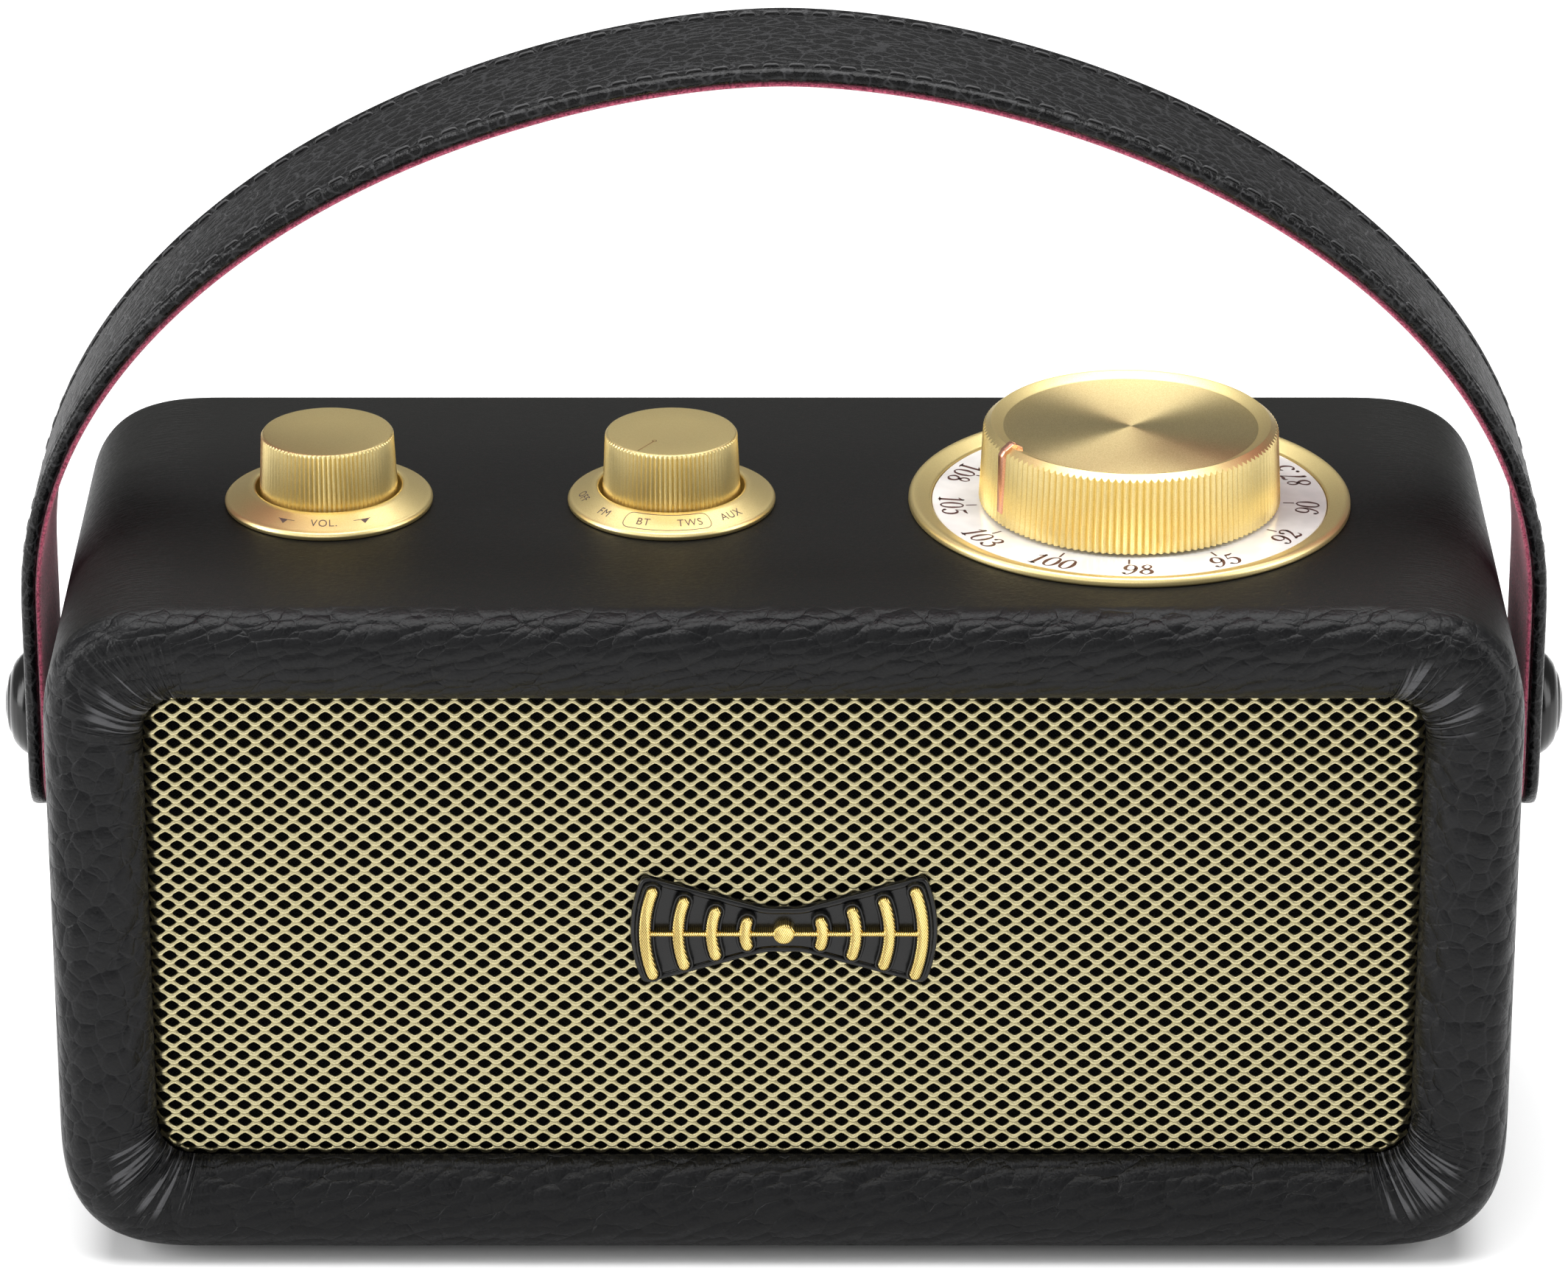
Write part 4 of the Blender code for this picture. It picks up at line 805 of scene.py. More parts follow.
def add_grille():
    low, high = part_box("grille")
    rows = int((high.z - low.z) / 2 / ROW_PITCH) + 1
    thirds = ((-rows, -rows // 3, "lower"), (-rows // 3, rows // 3, "middle"), (rows // 3, rows + 1, "upper"))
    for first, last, word in thirds:
        points, faces, start = [], [], 0
        for row in range(first, last):
            sections = strand(row, low.y)
            if len(sections) < 4:
                continue
            quads = np.array(grid_faces(len(sections), STRAND_POINTS, wrap_columns=False)) + start
            points.append(sections.reshape(-1, 3))
            faces.extend(quads.tolist())
            start += sections.shape[0] * STRAND_POINTS
        points = np.concatenate(points)
        piece = add_piece(f"grille_mesh_{word}", points, faces, "grille_gold", "cabinet", sharp=60)
        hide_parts("grille")


def add_padding():
    """The foam ring that rounds the front under the hide."""
    bases, directions = cabinet_frame(40, 60, 24)
    path = [(2.1, 2.4), (2.9, 1.6), (4.1, 1.3), (5.8, 1.4), (7.4, 2.0), (8.6, 2.8), (9.1, 3.6)]
    path += [(9.1, 4.5), (2.1, 4.5)]
    path = rounded([(i * MM, d * MM) for i, d in path], 0.5 * MM, 3, closed=True)
    rings = [cabinet_loop(bases, directions, *point) for point in path]
    faces = grid_faces(len(rings), len(bases), wrap_rows=True)
    foam = add_piece("foam_ring", np.concatenate(rings), faces, "foam", "cabinet")
    outward_faces(foam.data)
    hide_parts("front_padding")


def add_cloth():
    low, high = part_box("grille_cloth")
    bases, directions = cabinet_frame(12, 40, 16)
    rings = [cabinet_loop(bases, directions, low.x + HALF_W, low.y - FRONT_Y)]
    middle = np.array([0.0, low.y, MID_Z])
    for share in np.linspace(0.9, 0.1, 9):
        rings.append(middle + (rings[0] - middle) * share)
    points = np.concatenate(rings)
    faces = [tuple(reversed(f)) for f in grid_faces(len(rings), len(bases))]
    faces.append(tuple(range(len(points) - len(bases), len(points))))
    cloth = add_piece("acoustic_sheet", points, faces, "acoustic_cloth", "cabinet")
    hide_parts("grille_cloth")


# --- Badge: a generic broadcast sign -----------------------------------------------------------
SIGN_RADII = (4.2, 7.8, 11.4, 15.0)
SIGN_SPREAD = math.radians(19)
SIGN_BAR = 1.3 * MM
PLATE_SPREAD = math.radians(23)


def offset_loop(loop, distance):
    """A closed loop of (x, z) points moved outwards by distance."""
    before = np.roll(loop, 1, axis=0)
    after = np.roll(loop, -1, axis=0)
    tangent = after - before
    tangent /= np.linalg.norm(tangent, axis=1, keepdims=True)
    return loop + np.stack([tangent[:, 1], -tangent[:, 0]], -1) * distance


def raised(name, loop, profile, y_back, slot):
    """A flat loop, anticlockwise in XZ as seen from the front, raised by (outset, height) steps."""
    rings = []
    for outset, height in profile:
        ring = offset_loop(loop, outset)
        rings.append(np.stack([ring[:, 0], np.full(len(ring), y_back - height), ring[:, 1]], -1))
    points = np.concatenate(rings)
    count = len(loop)
    faces = grid_faces(len(profile), count)
    faces.append(tuple(range(len(points) - count, len(points))))
    faces.append(tuple(reversed(range(count))))
    return add_piece(name, points, faces, slot, "cabinet", (0, 0, MID_Z), sharp=40)


def arc_loop(radius, side, width, spread, steps=20, end_steps=6):
    """A curved bar with round ends, anticlockwise; side is -1 for the left and 1 for the right."""
    half = width / 2
    points = []
    for turn in np.linspace(-spread, spread, steps):
        points.append(((radius + half) * math.cos(turn), (radius + half) * math.sin(turn)))
    for tip, first in ((spread, 0.0), (-spread, math.pi)):
        centre = np.array([math.cos(tip), math.sin(tip)]) * radius
        for step in range(1, end_steps):
            turn = tip + first + math.pi * step / end_steps
            points.append(tuple(centre + half * np.array([math.cos(turn), math.sin(turn)])))
        if tip > 0:
            for turn in np.linspace(spread, -spread, steps):
                points.append(((radius - half) * math.cos(turn), (radius - half) * math.sin(turn)))
    loop = np.array(points)
    if side < 0:
        loop = loop[::-1] * (-1, 1)
    return loop


def plate_loop():
    """The bow-tie outline of the badge's plate, with smooth corners."""
    rim = (SIGN_RADII[-1] + 1.6) * MM
    edge = [(rim * math.cos(a), rim * math.sin(a)) for a in np.linspace(-PLATE_SPREAD, PLATE_SPREAD, 7)]
    waist = 2.6 * MM
    side = 2.0 * MM
    corners = edge + [(side, waist), (-side, waist)]
    corners += [(-x, -z) for x, z in corners]
    return np.array(rounded(corners, 1.0 * MM, 5, closed=True))


def add_badge():
    plate_low, plate_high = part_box("badge_plate")
    sign_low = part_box("badge_sign")[0]
    thick = plate_high.y - plate_low.y
    rim = [
        (0.0, 0.0),
        (0.0, thick - 0.25 * MM),
        (-0.08 * MM, thick - 0.08 * MM),
        (-0.25 * MM, thick),
        (-0.45 * MM, thick),
        (-0.60 * MM, thick - 0.10 * MM),
        (-0.72 * MM, thick - 0.28 * MM),
    ]
    plate = raised("badge_panel", plate_loop(), rim, plate_high.y, "gloss_black")
    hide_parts("badge_plate")
    floor = plate_high.y - thick + 0.30 * MM
    top = floor - sign_low.y
    stroke = [(0.0, 0.0), (0.0, 0.62), (-0.05, 0.80), (-0.15, 0.93), (-0.30, 1.0)]
    collar = [(0.42, 0.0), (0.42, 0.45), (0.32, 0.62), (0.16, 0.62), (0.04, 0.5)]
    stroke, collar = ([(outset * MM, top * share) for outset, share in steps] for steps in (stroke, collar))
    loops = {"bar": bar_loop(), "dot": dot_loop()}
    for side, word in ((-1, "left"), (1, "right")):
        for number, radius in enumerate(SIGN_RADII, 1):
            loops[f"{word}_{number}"] = arc_loop(radius * MM, side, SIGN_BAR, SIGN_SPREAD)
    for word, loop in loops.items():
        gold = raised(f"badge_stroke_{word}", loop, stroke, floor, "badge_gold")
        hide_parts("badge_sign")
        if word not in ("bar", "dot"):
            raised(f"badge_collar_{word}", loop, collar, floor, "gloss_black")


def bar_loop():
    half_h = 0.30 * MM
    return np.array(rounded(rectangle(SIGN_RADII[-1] * MM, half_h), half_h, 4, closed=True))


def dot_loop():
    turn = np.linspace(0, 2 * math.pi, 40, endpoint=False)
    return np.stack([np.cos(turn), np.sin(turn)], -1) * 1.2 * MM


# --- Controls ----------------------------------------------------------------------------------
def fluted(name, rings, flutes, inner, slot, body, place, sharp=48.0):
    """A turned piece whose side has V-shaped flutes.

    A ring is (radius, height, flute depth, slope): a groove reaches depth below the radius, and the
    ring climbs by slope times the depth there, as where a chamfer cuts the flutes. inner closes the
    piece at the top and bottom with plain (radius, height) rings.
    """
    shape = np.array([1.0, 0.78, 0.0, 0.78])
    phase = np.array([0.0, 0.18, 0.5, 0.82])
    columns = flutes * len(shape)
    peak = np.tile(shape, flutes)
    turn = (np.repeat(np.arange(flutes), len(shape)) + np.tile(phase, flutes)) * 2 * math.pi / flutes
    rows = []
    crown, foot = ([(*ring, 0, 0) for ring in plain] for plain in inner)
    for radius, height, depth, slope in crown + rings + foot:
        low = depth * (1 - peak)
        around = radius - low
        rows.append(np.stack([around * np.cos(turn), around * np.sin(turn), height + slope * low], -1))
    faces = [tuple(reversed(f)) for f in grid_faces(len(rows), columns)]
    return add_piece(name, np.concatenate(rows), faces, slot, body, place, sharp)


def knob_sides(top_r, base_r, top, base, depth, rows=6):
    made = []
    for step in range(rows + 1):
        t = step / rows
        made.append((top_r + (base_r - top_r) * t, top + (base - top) * t, depth, 0))
    return made


def add_small_knob(word, body, axis):
    low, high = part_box(f"{word}_knob")
    top = high.z - TOP_Z
    radius = (high.x - low.x) / 2
    top_r = radius - 0.35 * MM
    depth = 0.24 * MM
    crown = [
        (0.0, top),
        (top_r * 0.5, top),
        (top_r - 0.42 * MM, top),
        (top_r - 0.30 * MM, top - 0.02 * MM),
        (top_r - 0.20 * MM, top - 0.07 * MM),
    ]
    rings = [(top_r - 0.02 * MM, top - 0.30 * MM, depth, 0.9)]
    rings += knob_sides(top_r, radius, top - 0.42 * MM, 0.45 * MM, depth)
    rings.append((radius - 0.05 * MM, 0.25 * MM, depth, 0))
    foot = [(radius - 0.5 * MM, 0.2 * MM), (6.2 * MM, 0.2 * MM), (6.2 * MM, 3.2 * MM), (2.8 * MM, 3.2 * MM)]
    knob = fluted(f"{word}_dome", rings, 88, (crown, foot), "knob_gold", body, axis)
    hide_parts(f"{word}_knob")
    return top


def add_small_bezel(word, axis):
    floor = -0.5 * MM
    profile = [
        (SMALL_WELL_R, 2.0 * MM),
        (SMALL_WELL_R + 0.30 * MM, 2.15 * MM),
        (SMALL_WELL_R + 0.75 * MM, 2.02 * MM),
        (SMALL_BEZEL_R - 0.55 * MM, 0.98 * MM),
        (SMALL_BEZEL_R - 0.22 * MM, 0.86 * MM),
        (SMALL_BEZEL_R, 0.52 * MM),
        (SMALL_BEZEL_R - 0.10 * MM, 0.05 * MM),
        (SMALL_WELL_R + 0.4 * MM, 0.05 * MM),
        (SMALL_WELL_R + 0.4 * MM, floor - 0.4 * MM),
        (3.9 * MM, floor - 0.4 * MM),
        (3.9 * MM, floor),
        (SMALL_WELL_R, floor),
    ]
    bezel = turned(f"{word}_collar", profile, "bezel_gold", "cabinet", axis, 128, True, 0.14 * MM, 35)
    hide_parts(f"{word}_bezel")


def add_tuning_knob():
    low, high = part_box("tuning_knob")
    top = high.z - TOP_Z
    base = low.z - TOP_Z
    base_r = (high.x - low.x) / 2
    top_r = base_r - 0.4 * MM
    depth = 0.36 * MM
    rim_r = top_r - 0.85 * MM
    recess = top - 0.6 * MM
    crown = [(13.9 * MM, recess), (14.15 * MM, recess + 0.08 * MM)]
    crown += [(rim_r - 0.25 * MM, top - 0.05 * MM), (rim_r, top)]
    slope = 0.85
    edge = top - slope * (top_r - rim_r)
    rings = [(top_r, edge, depth, slope)]
    rings += knob_sides(top_r, base_r, edge - 0.02 * MM, base + 0.10 * MM, depth)[1:]
    foot = [(base_r - 0.5 * MM, base), (7.2 * MM, base), (7.2 * MM, 4.2 * MM), (2.8 * MM, 4.2 * MM)]
    rings.append((base_r - 0.06 * MM, base, depth, 0))
    knob = fluted("tuning_drum", rings, 130, (crown, foot), "knob_gold", "tuning_control", TUNING_AXIS)
    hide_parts("tuning_knob")
    disc = [(0.0, recess + 0.02 * MM), (7.0 * MM, recess + 0.02 * MM), (13.6 * MM, recess + 0.02 * MM)]
    disc += [(13.8 * MM, recess - 0.01 * MM), (14.0 * MM, recess - 0.02 * MM)]
    turned("tuning_face", disc, "knob_disc", "tuning_control", TUNING_AXIS, soften=0)
    add_pointer(top, edge, top_r, base_r, rim_r)


def add_pointer(top, edge, top_r, base_r, rim_r):
    """The copper blade set into the drum: over the rim, down the chamfer and the side."""
    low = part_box("tuning_pointer")[0].z - TOP_Z
    proud = 0.45 * MM
    line = [
        (rim_r - 0.55 * MM, top - 0.55 * MM),
        (rim_r - 0.50 * MM, top + proud - 0.15 * MM),
        (rim_r - 0.10 * MM, top + proud),
        (top_r + 0.10 * MM, edge + proud + 0.05 * MM),
        (top_r + proud, edge - 0.1 * MM),
        (base_r + 0.12 * MM, low + 0.15 * MM),
        (base_r - 0.1 * MM, low),
    ]
    line = rounded(line, 0.12 * MM, 3)
    rows = []
    for number, (r, z) in enumerate(line):
        share = number / (len(line) - 1)
        half = (0.58 - 0.14 * share) * MM
        soft = 0.10 * MM
        inward = (-0.7, -0.4) if z > edge else (-1.0, 0.0)
        back = 1.0 * MM
        section = [(-half, back), (-half, soft), (-half + soft, 0)]
        section += [(half - soft, 0), (half, soft), (half, back)]
        rows.append([(a, -(r + inward[0] * d), z + inward[1] * d) for a, d in section])
    points = np.array(rows).reshape(-1, 3)
    faces = [tuple(reversed(f)) for f in grid_faces(len(rows), 6)]
    faces += [tuple(range(6)), tuple(reversed(range(len(points) - 6, len(points))))]
    place = Matrix.Translation(TUNING_AXIS) @ Matrix.Rotation(-POINTER_ANGLE, 4, "Z")
    blade = add_piece("tuning_blade", points, faces, "pointer_copper", "tuning_control", place, sharp=50)
    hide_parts("tuning_pointer")


def add_tuning_bezel():
    low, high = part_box("tuning_dial")
    top = high.z - TOP_Z
    under = low.z - TOP_Z
    profile = [
        (DIAL_R + 0.10 * MM, top + 0.10 * MM),
        (DIAL_R + 0.25 * MM, top + 0.24 * MM),
        (TUNING_BEZEL_R - 0.95 * MM, 0.98 * MM),
        (TUNING_BEZEL_R - 0.62 * MM, 1.06 * MM),
        (TUNING_BEZEL_R - 0.30 * MM, 1.00 * MM),
        (TUNING_BEZEL_R - 0.04 * MM, 0.68 * MM),
        (TUNING_BEZEL_R, 0.20 * MM),
        (TUNING_BEZEL_R - 0.12 * MM, 0.03 * MM),
        (DIAL_R + 0.8 * MM, 0.03 * MM),
        (DIAL_R + 0.8 * MM, under - 0.5 * MM),
        (3.9 * MM, under - 0.5 * MM),
        (3.9 * MM, under - 0.05 * MM),
        (DIAL_R + 0.10 * MM, under - 0.05 * MM),
    ]
    bezel = turned("tuning_ring", profile, "bezel_gold", "cabinet", TUNING_AXIS, 192, True, 0.16 * MM, 35)
    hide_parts("tuning_bezel")
    profile = [(6.2 * MM, top), (DIAL_R - 0.05 * MM, top), (DIAL_R, top - 0.08 * MM)]
    profile += [(DIAL_R, under), (6.2 * MM, under)]
    dial = turned("tuning_scale", profile, "dial_white", "cabinet", TUNING_AXIS, 192, True, 0.05 * MM)
    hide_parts("tuning_dial")
    return top


# --- Print: numerals and labels ----------------------------------------------------------------
# A digit is a list of strokes, and a stroke a list of (across, up, width) in hundredths of the height.
DIGITS = {
    "0": [
        [(50, 97, 5), (28, 86, 9), (17, 60, 14), (17, 40, 14), (26, 14, 9), (46, 3, 5)],
        [(46, 3, 5), (68, 14, 9), (79, 40, 14), (79, 60, 14), (72, 86, 9), (50, 97, 5)],
    ],
    "1": [
        [(24, 82, 5), (40, 90, 6), (52, 98, 10)],
        [(52, 98, 13), (50, 50, 14), (48, 4, 14)],
        [(28, 2.5, 5), (48, 4, 7), (68, 2.5, 5)],
    ],
    "2": [
        [(26, 76, 15), (22, 86, 10), (42, 97, 6), (66, 92, 11), (75, 74, 14)],
        [(75, 74, 14), (64, 50, 10), (38, 26, 6), (20, 8, 5)],
        [(20, 8, 9), (40, 12, 13), (60, 5, 12), (78, 10, 7), (82, 24, 4)],
    ],
    "3": [
        [(24, 80, 13), (32, 94, 6), (54, 97, 7), (72, 84, 13), (66, 64, 10), (42, 54, 5)],
        [(42, 54, 5), (70, 48, 10), (80, 28, 14), (68, 8, 9), (42, 3, 6), (22, 15, 13)],
    ],
    "5": [
        [(36, 94, 10), (56, 93, 11), (80, 98, 5)],
        [(36, 94, 5), (30, 76, 4), (26, 58, 5)],
        [(26, 58, 5), (50, 63, 8), (72, 52, 13), (77, 30, 14), (62, 8, 9), (38, 3, 6), (20, 14, 13)],
    ],
    "7": [
        [(20, 84, 5), (26, 95, 11), (54, 92, 12), (82, 97, 5)],
        [(82, 97, 5), (62, 62, 8), (46, 30, 14), (42, 4, 16)],
    ],
    "8": [
        [(50, 53, 10), (30, 66, 11), (28, 84, 10), (50, 97, 5), (70, 86, 8), (70, 68, 8), (50, 53, 10)],
        [(50, 53, 10), (26, 40, 9), (20, 20, 12), (46, 3, 5), (74, 16, 13), (72, 38, 13), (50, 53, 12)],
    ],
    "9": [
        [(52, 42, 5), (28, 50, 11), (20, 70, 14), (32, 92, 9), (52, 97, 5)],
        [(52, 97, 5), (72, 86, 9), (80, 64, 14), (74, 34, 11), (56, 10, 7), (34, 3, 6), (22, 14, 13)],
        [(52, 42, 5), (66, 48, 5), (76, 62, 7)],
    ],
    ".": [[(16, 7, 14), (20, 7, 14)]],
}
DIGIT_ADVANCE = {"1": 0.56, ".": 0.30}
SLANT = 0.12
PEN = 1.15
DIGIT_WIDTH = 0.76
FIGURE_H = 2.65 * MM
FIGURE_R = 19.5 * MM
# A figure, and how far it and its tick lie left of the front
SCALE_MARKS = (
    ("108", 113, 113),
    ("105", 85, 85),
    ("103", 56.5, 58),
    ("100", 27, 27),
    ("98", -0.5, 2.5),
    ("95", -29.5, -29),
    ("92", -58, -60),
    ("90", -83.5, -87),
    ("87.5", -111, -113),
)


def curve_through(points, steps=8):
    """A smooth line through points of any dimension."""
    points = [np.array(p, float) for p in points]
    padded = [2 * points[0] - points[1], *points, 2 * points[-1] - points[-2]]
    made = [points[0]]
    for a, b, c, d in zip(padded, padded[1:], padded[2:], padded[3:]):
        for step in range(1, steps + 1):
            t = step / steps
            cubic = 3 * (b - c) + d - a
            square = 2 * a - 5 * b + 4 * c - d
            made.append(b + 0.5 * t * (c - a + t * (square + t * cubic)))
    return np.array(made)


def ribbon(line):
    """Left and right edges of a flat stroke; line is rows of (x, y, width)."""
    tangent = np.gradient(line[:, :2], axis=0)
    tangent /= np.linalg.norm(tangent, axis=1, keepdims=True)
    side = np.stack([-tangent[:, 1], tangent[:, 0]], -1) * line[:, 2:3] / 2
    return line[:, :2] + side, line[:, :2] - side


def disc_fan(centre, radius, steps=14):
    turn = np.linspace(0, 2 * math.pi, steps, endpoint=False)
    return np.array(centre) + np.stack([np.cos(turn), np.sin(turn)], -1) * radius


class Print:
    """Flat shapes in (across, up), gathered and then laid on a turned surface."""

    def __init__(self):
        self.points = []
        self.faces = []

    def add(self, points, faces, shift=(0.0, 0.0)):
        start = len(self.points)
        self.points.extend((x + shift[0], y + shift[1]) for x, y in points)
        self.faces.extend(tuple(i + start for i in face) for face in faces)

    def stroke(self, line, caps=True):
        left, right = ribbon(line)
        points = np.concatenate([left, right])
        count = len(line)
        faces = [(i, i + 1, count + i + 1, count + i) for i in range(count - 1)]
        self.add(points, faces)
        if caps:
            for end in (0, -1):
                fan = disc_fan(line[end, :2], line[end, 2] / 2)
                self.add(fan, [tuple(range(len(fan)))])

    def laid(self, radius, turn, surface, lift=0.012 * MM):
        """Points on a turned surface, with their tops towards the axis, at turn left of the front."""
        points = []
        for across, up in self.points:
            r = radius - up
            angle = turn - across / radius
            points.append((-r * math.sin(angle), -r * math.cos(angle), surface(r) + lift))
        return points


def numeral(text, height):
    advances = [DIGIT_ADVANCE.get(digit, 0.68) * height for digit in text]
    made = Print()
    x = -sum(advances) / 2
    for digit, advance in zip(text, advances):
        centre = 0.5 if digit != "." else 0.18
        for stroke in DIGITS[digit]:
            line = curve_through(stroke) / 100
            line[:, 0] = DIGIT_WIDTH * (line[:, 0] - centre) + SLANT * (line[:, 1] - 0.5)
            line *= height
            line[:, 2] *= PEN
            line[:, 0] += x + advance / 2
            line[:, 1] -= height / 2
            made.stroke(line)
        x += advance
    return made


def add_print(name, shapes, surface, slot, body, axis):
    """One piece from (shape, radius, turn left of the front) rows, flat and facing up."""
    points, faces = [], []
    for shape, radius, turn in shapes:
        start = len(points)
        points.extend(shape.laid(radius, turn, surface))
        faces.extend(tuple(i + start for i in face) for face in shape.faces)
    upward = []
    for face in faces:
        ring = [points[i] for i in face]
        area = sum(a[0] * b[1] - b[0] * a[1] for a, b in zip(ring, ring[1:] + ring[:1]))
        upward.append(face if area > 0 else tuple(reversed(face)))
    piece = add_piece(name, points, upward, slot, body, axis)
    piece.data.shade_flat()


def add_dial_print(top):
    tick = Print()
    tick.add(rectangle(0.11 * MM, 0.6 * MM), [(0, 1, 2, 3)])
    shapes = []
    for text, degrees, tick_degrees in SCALE_MARKS:
        shapes.append((numeral(text, FIGURE_H), FIGURE_R, math.radians(degrees)))
        shapes.append((tick, 17.4 * MM, math.radians(tick_degrees)))
    add_print("dial_figures", shapes, lambda r: top, "dial_ink", "cabinet", TUNING_AXIS)


def lettering(text, height):
    """The built-in font's outlines as flat shapes, centred, with capitals of that height."""
    curve = bpy.data.curves.new("lettering", "FONT")
    curve.body = text
    curve.size = height / 0.729
    curve.align_x = "CENTER"
    curve.space_character = 1.12
    curve.resolution_u = 6
    holder = bpy.data.objects.new("lettering", curve)
    mesh = bpy.data.meshes.new_from_object(holder)
    made = Print()
    points = [(v.co.x, v.co.y - height / 2) for v in mesh.vertices]
    made.add(points, [tuple(p.vertices) for p in mesh.polygons])
    bpy.data.objects.remove(holder)
    bpy.data.meshes.remove(mesh)
    return made


def bezel_surface(r):
    inner_r, inner_z = SMALL_WELL_R + 0.75 * MM, 2.02 * MM
    outer_r, outer_z = SMALL_BEZEL_R - 0.55 * MM, 0.98 * MM
    return inner_z + (r - inner_r) * (outer_z - inner_z) / (outer_r - inner_r)


def lay_labels(name, labels, axis):
    """labels are (shape, degrees left of the front)."""
    shapes = [(shape, LABEL_R, math.radians(degrees)) for shape, degrees in labels]
    add_print(name, shapes, bezel_surface, "label_ink", "cabinet", axis)


LABEL_R = 9.75 * MM
LABEL_H = 0.92 * MM


def rounded_frame(left, right, half_height, line):
    """An outline round two labels, from left to right degrees, as a closed thin stroke."""
    half_width = math.radians(left - right) / 2 * LABEL_R
    corners = rectangle(half_width, half_height)
    path = []
    loop = rounded(corners, half_height * 0.95, 8, closed=True)
    for a, b in zip(loop, loop[1:] + loop[:1]):
        for t in np.linspace(0, 1, 6, endpoint=False):
            path.append(a + (b - a) * t)
    path.append(path[0])
    made = Print()
    made.stroke(np.array([(x, y, line) for x, y in path]), caps=False)
    return made


def half_arrow(sign):
    """A thin line along the bezel that ends in a one-sided arrowhead."""
    made = Print()
    made.stroke(np.array([(sign * x * MM, 0.06 * MM, 0.07 * MM) for x in np.linspace(-0.95, 0.95, 9)]))
    head = [(sign * 0.95, 0.10), (sign * -0.15, 0.02), (sign * 0.15, -0.48)]
    made.add([(x * MM, y * MM) for x, y in head], [(0, 1, 2)])
    return made


def add_labels():
    lay_labels(
        "volume_label",
        [(lettering("VOL.", LABEL_H), 0), (half_arrow(-1), 25), (half_arrow(1), -25)],
        VOLUME_AXIS,
    )
    words = (("OFF", 77.5), ("FM", 47.5), ("BT", 17.5), ("TWS", -12.5), ("AUX", -42.0))
    labels = [(lettering(word, LABEL_H), degrees) for word, degrees in words]
    labels.append((rounded_frame(30.5, -26.0, 0.98 * MM, 0.085 * MM), 2.2))
    lay_labels("function_labels", labels, FUNCTION_AXIS)


def add_function_pointer(top):
    """A small ring and a fine line cut into the function knob's top."""
    made = Print()
    made.stroke(np.array([(0.0, -y * MM, 0.15 * MM) for y in np.linspace(3.60, 6.6, 8)]))
    turn = np.linspace(0, 2 * math.pi, 25)
    ring = [(0.22 * MM * math.cos(a), -3.35 * MM + 0.22 * MM * math.sin(a), 0.12 * MM) for a in turn]
    made.stroke(np.array(ring), caps=False)
    c, s = math.cos(-FUNCTION_POINTER_ANGLE), math.sin(-FUNCTION_POINTER_ANGLE)
    points = [(x * c - y * s, x * s + y * c, top + 0.010 * MM) for x, y in made.points]
    mark = add_piece("function_mark", points, made.faces, "mark_gold", "function_control", FUNCTION_AXIS)
    mark.data.shade_flat()


def add_controls():
    for word, axis in (("volume", VOLUME_AXIS), ("function", FUNCTION_AXIS)):
        add_small_bezel(word, axis)
        top = add_small_knob(word, f"{word}_control", axis)
    add_function_pointer(top)
    add_tuning_knob()
    add_dial_print(add_tuning_bezel())
    add_labels()


# --- Strap -------------------------------------------------------------------------------------
def strap_line(samples=260):
    """The strap's outer face from the left tail to the right tail: points, outward normals, run."""
    tail_z = STRAP_PIVOT_Z - STRAP_TAIL
    turn = np.linspace(0, math.pi / 2, 400)
    x = STRAP_HALF_SPAN * np.maximum(np.cos(turn), 0) ** STRAP_BULGE
    z = STRAP_SHOULDER_Z + STRAP_RISE * np.sin(turn)
    leg = np.linspace(tail_z, STRAP_SHOULDER_Z, 60)[:-1]
    half = np.stack([np.concatenate([np.full(59, STRAP_HALF_SPAN), x]), np.concatenate([leg, z])], -1)
    whole = np.concatenate([half[:-1] * (-1, 1), half[::-1]])
    run = np.concatenate([[0], np.cumsum(np.linalg.norm(np.diff(whole, axis=0), axis=1))])
    even = np.linspace(0, run[-1], samples)
    line = np.stack([np.interp(even, run, whole[:, i]) for i in (0, 1)], -1)
    for _ in range(3):
        line[1:-1] = (line[:-2] + 2 * line[1:-1] + line[2:]) / 4
    tangent = np.gradient(line, axis=0)
    tangent /= np.linalg.norm(tangent, axis=1, keepdims=True)
    return line, np.stack([-tangent[:, 1], tangent[:, 0]], -1), even


def strap_half(run, length, width):
    """Half the strap's width, which draws in at the round tails."""
    missing = np.maximum(0, 1 - np.minimum(run, length - run) / (6.0 * MM))
    return width / 2 * np.sqrt(1 - 0.75 * missing**2)


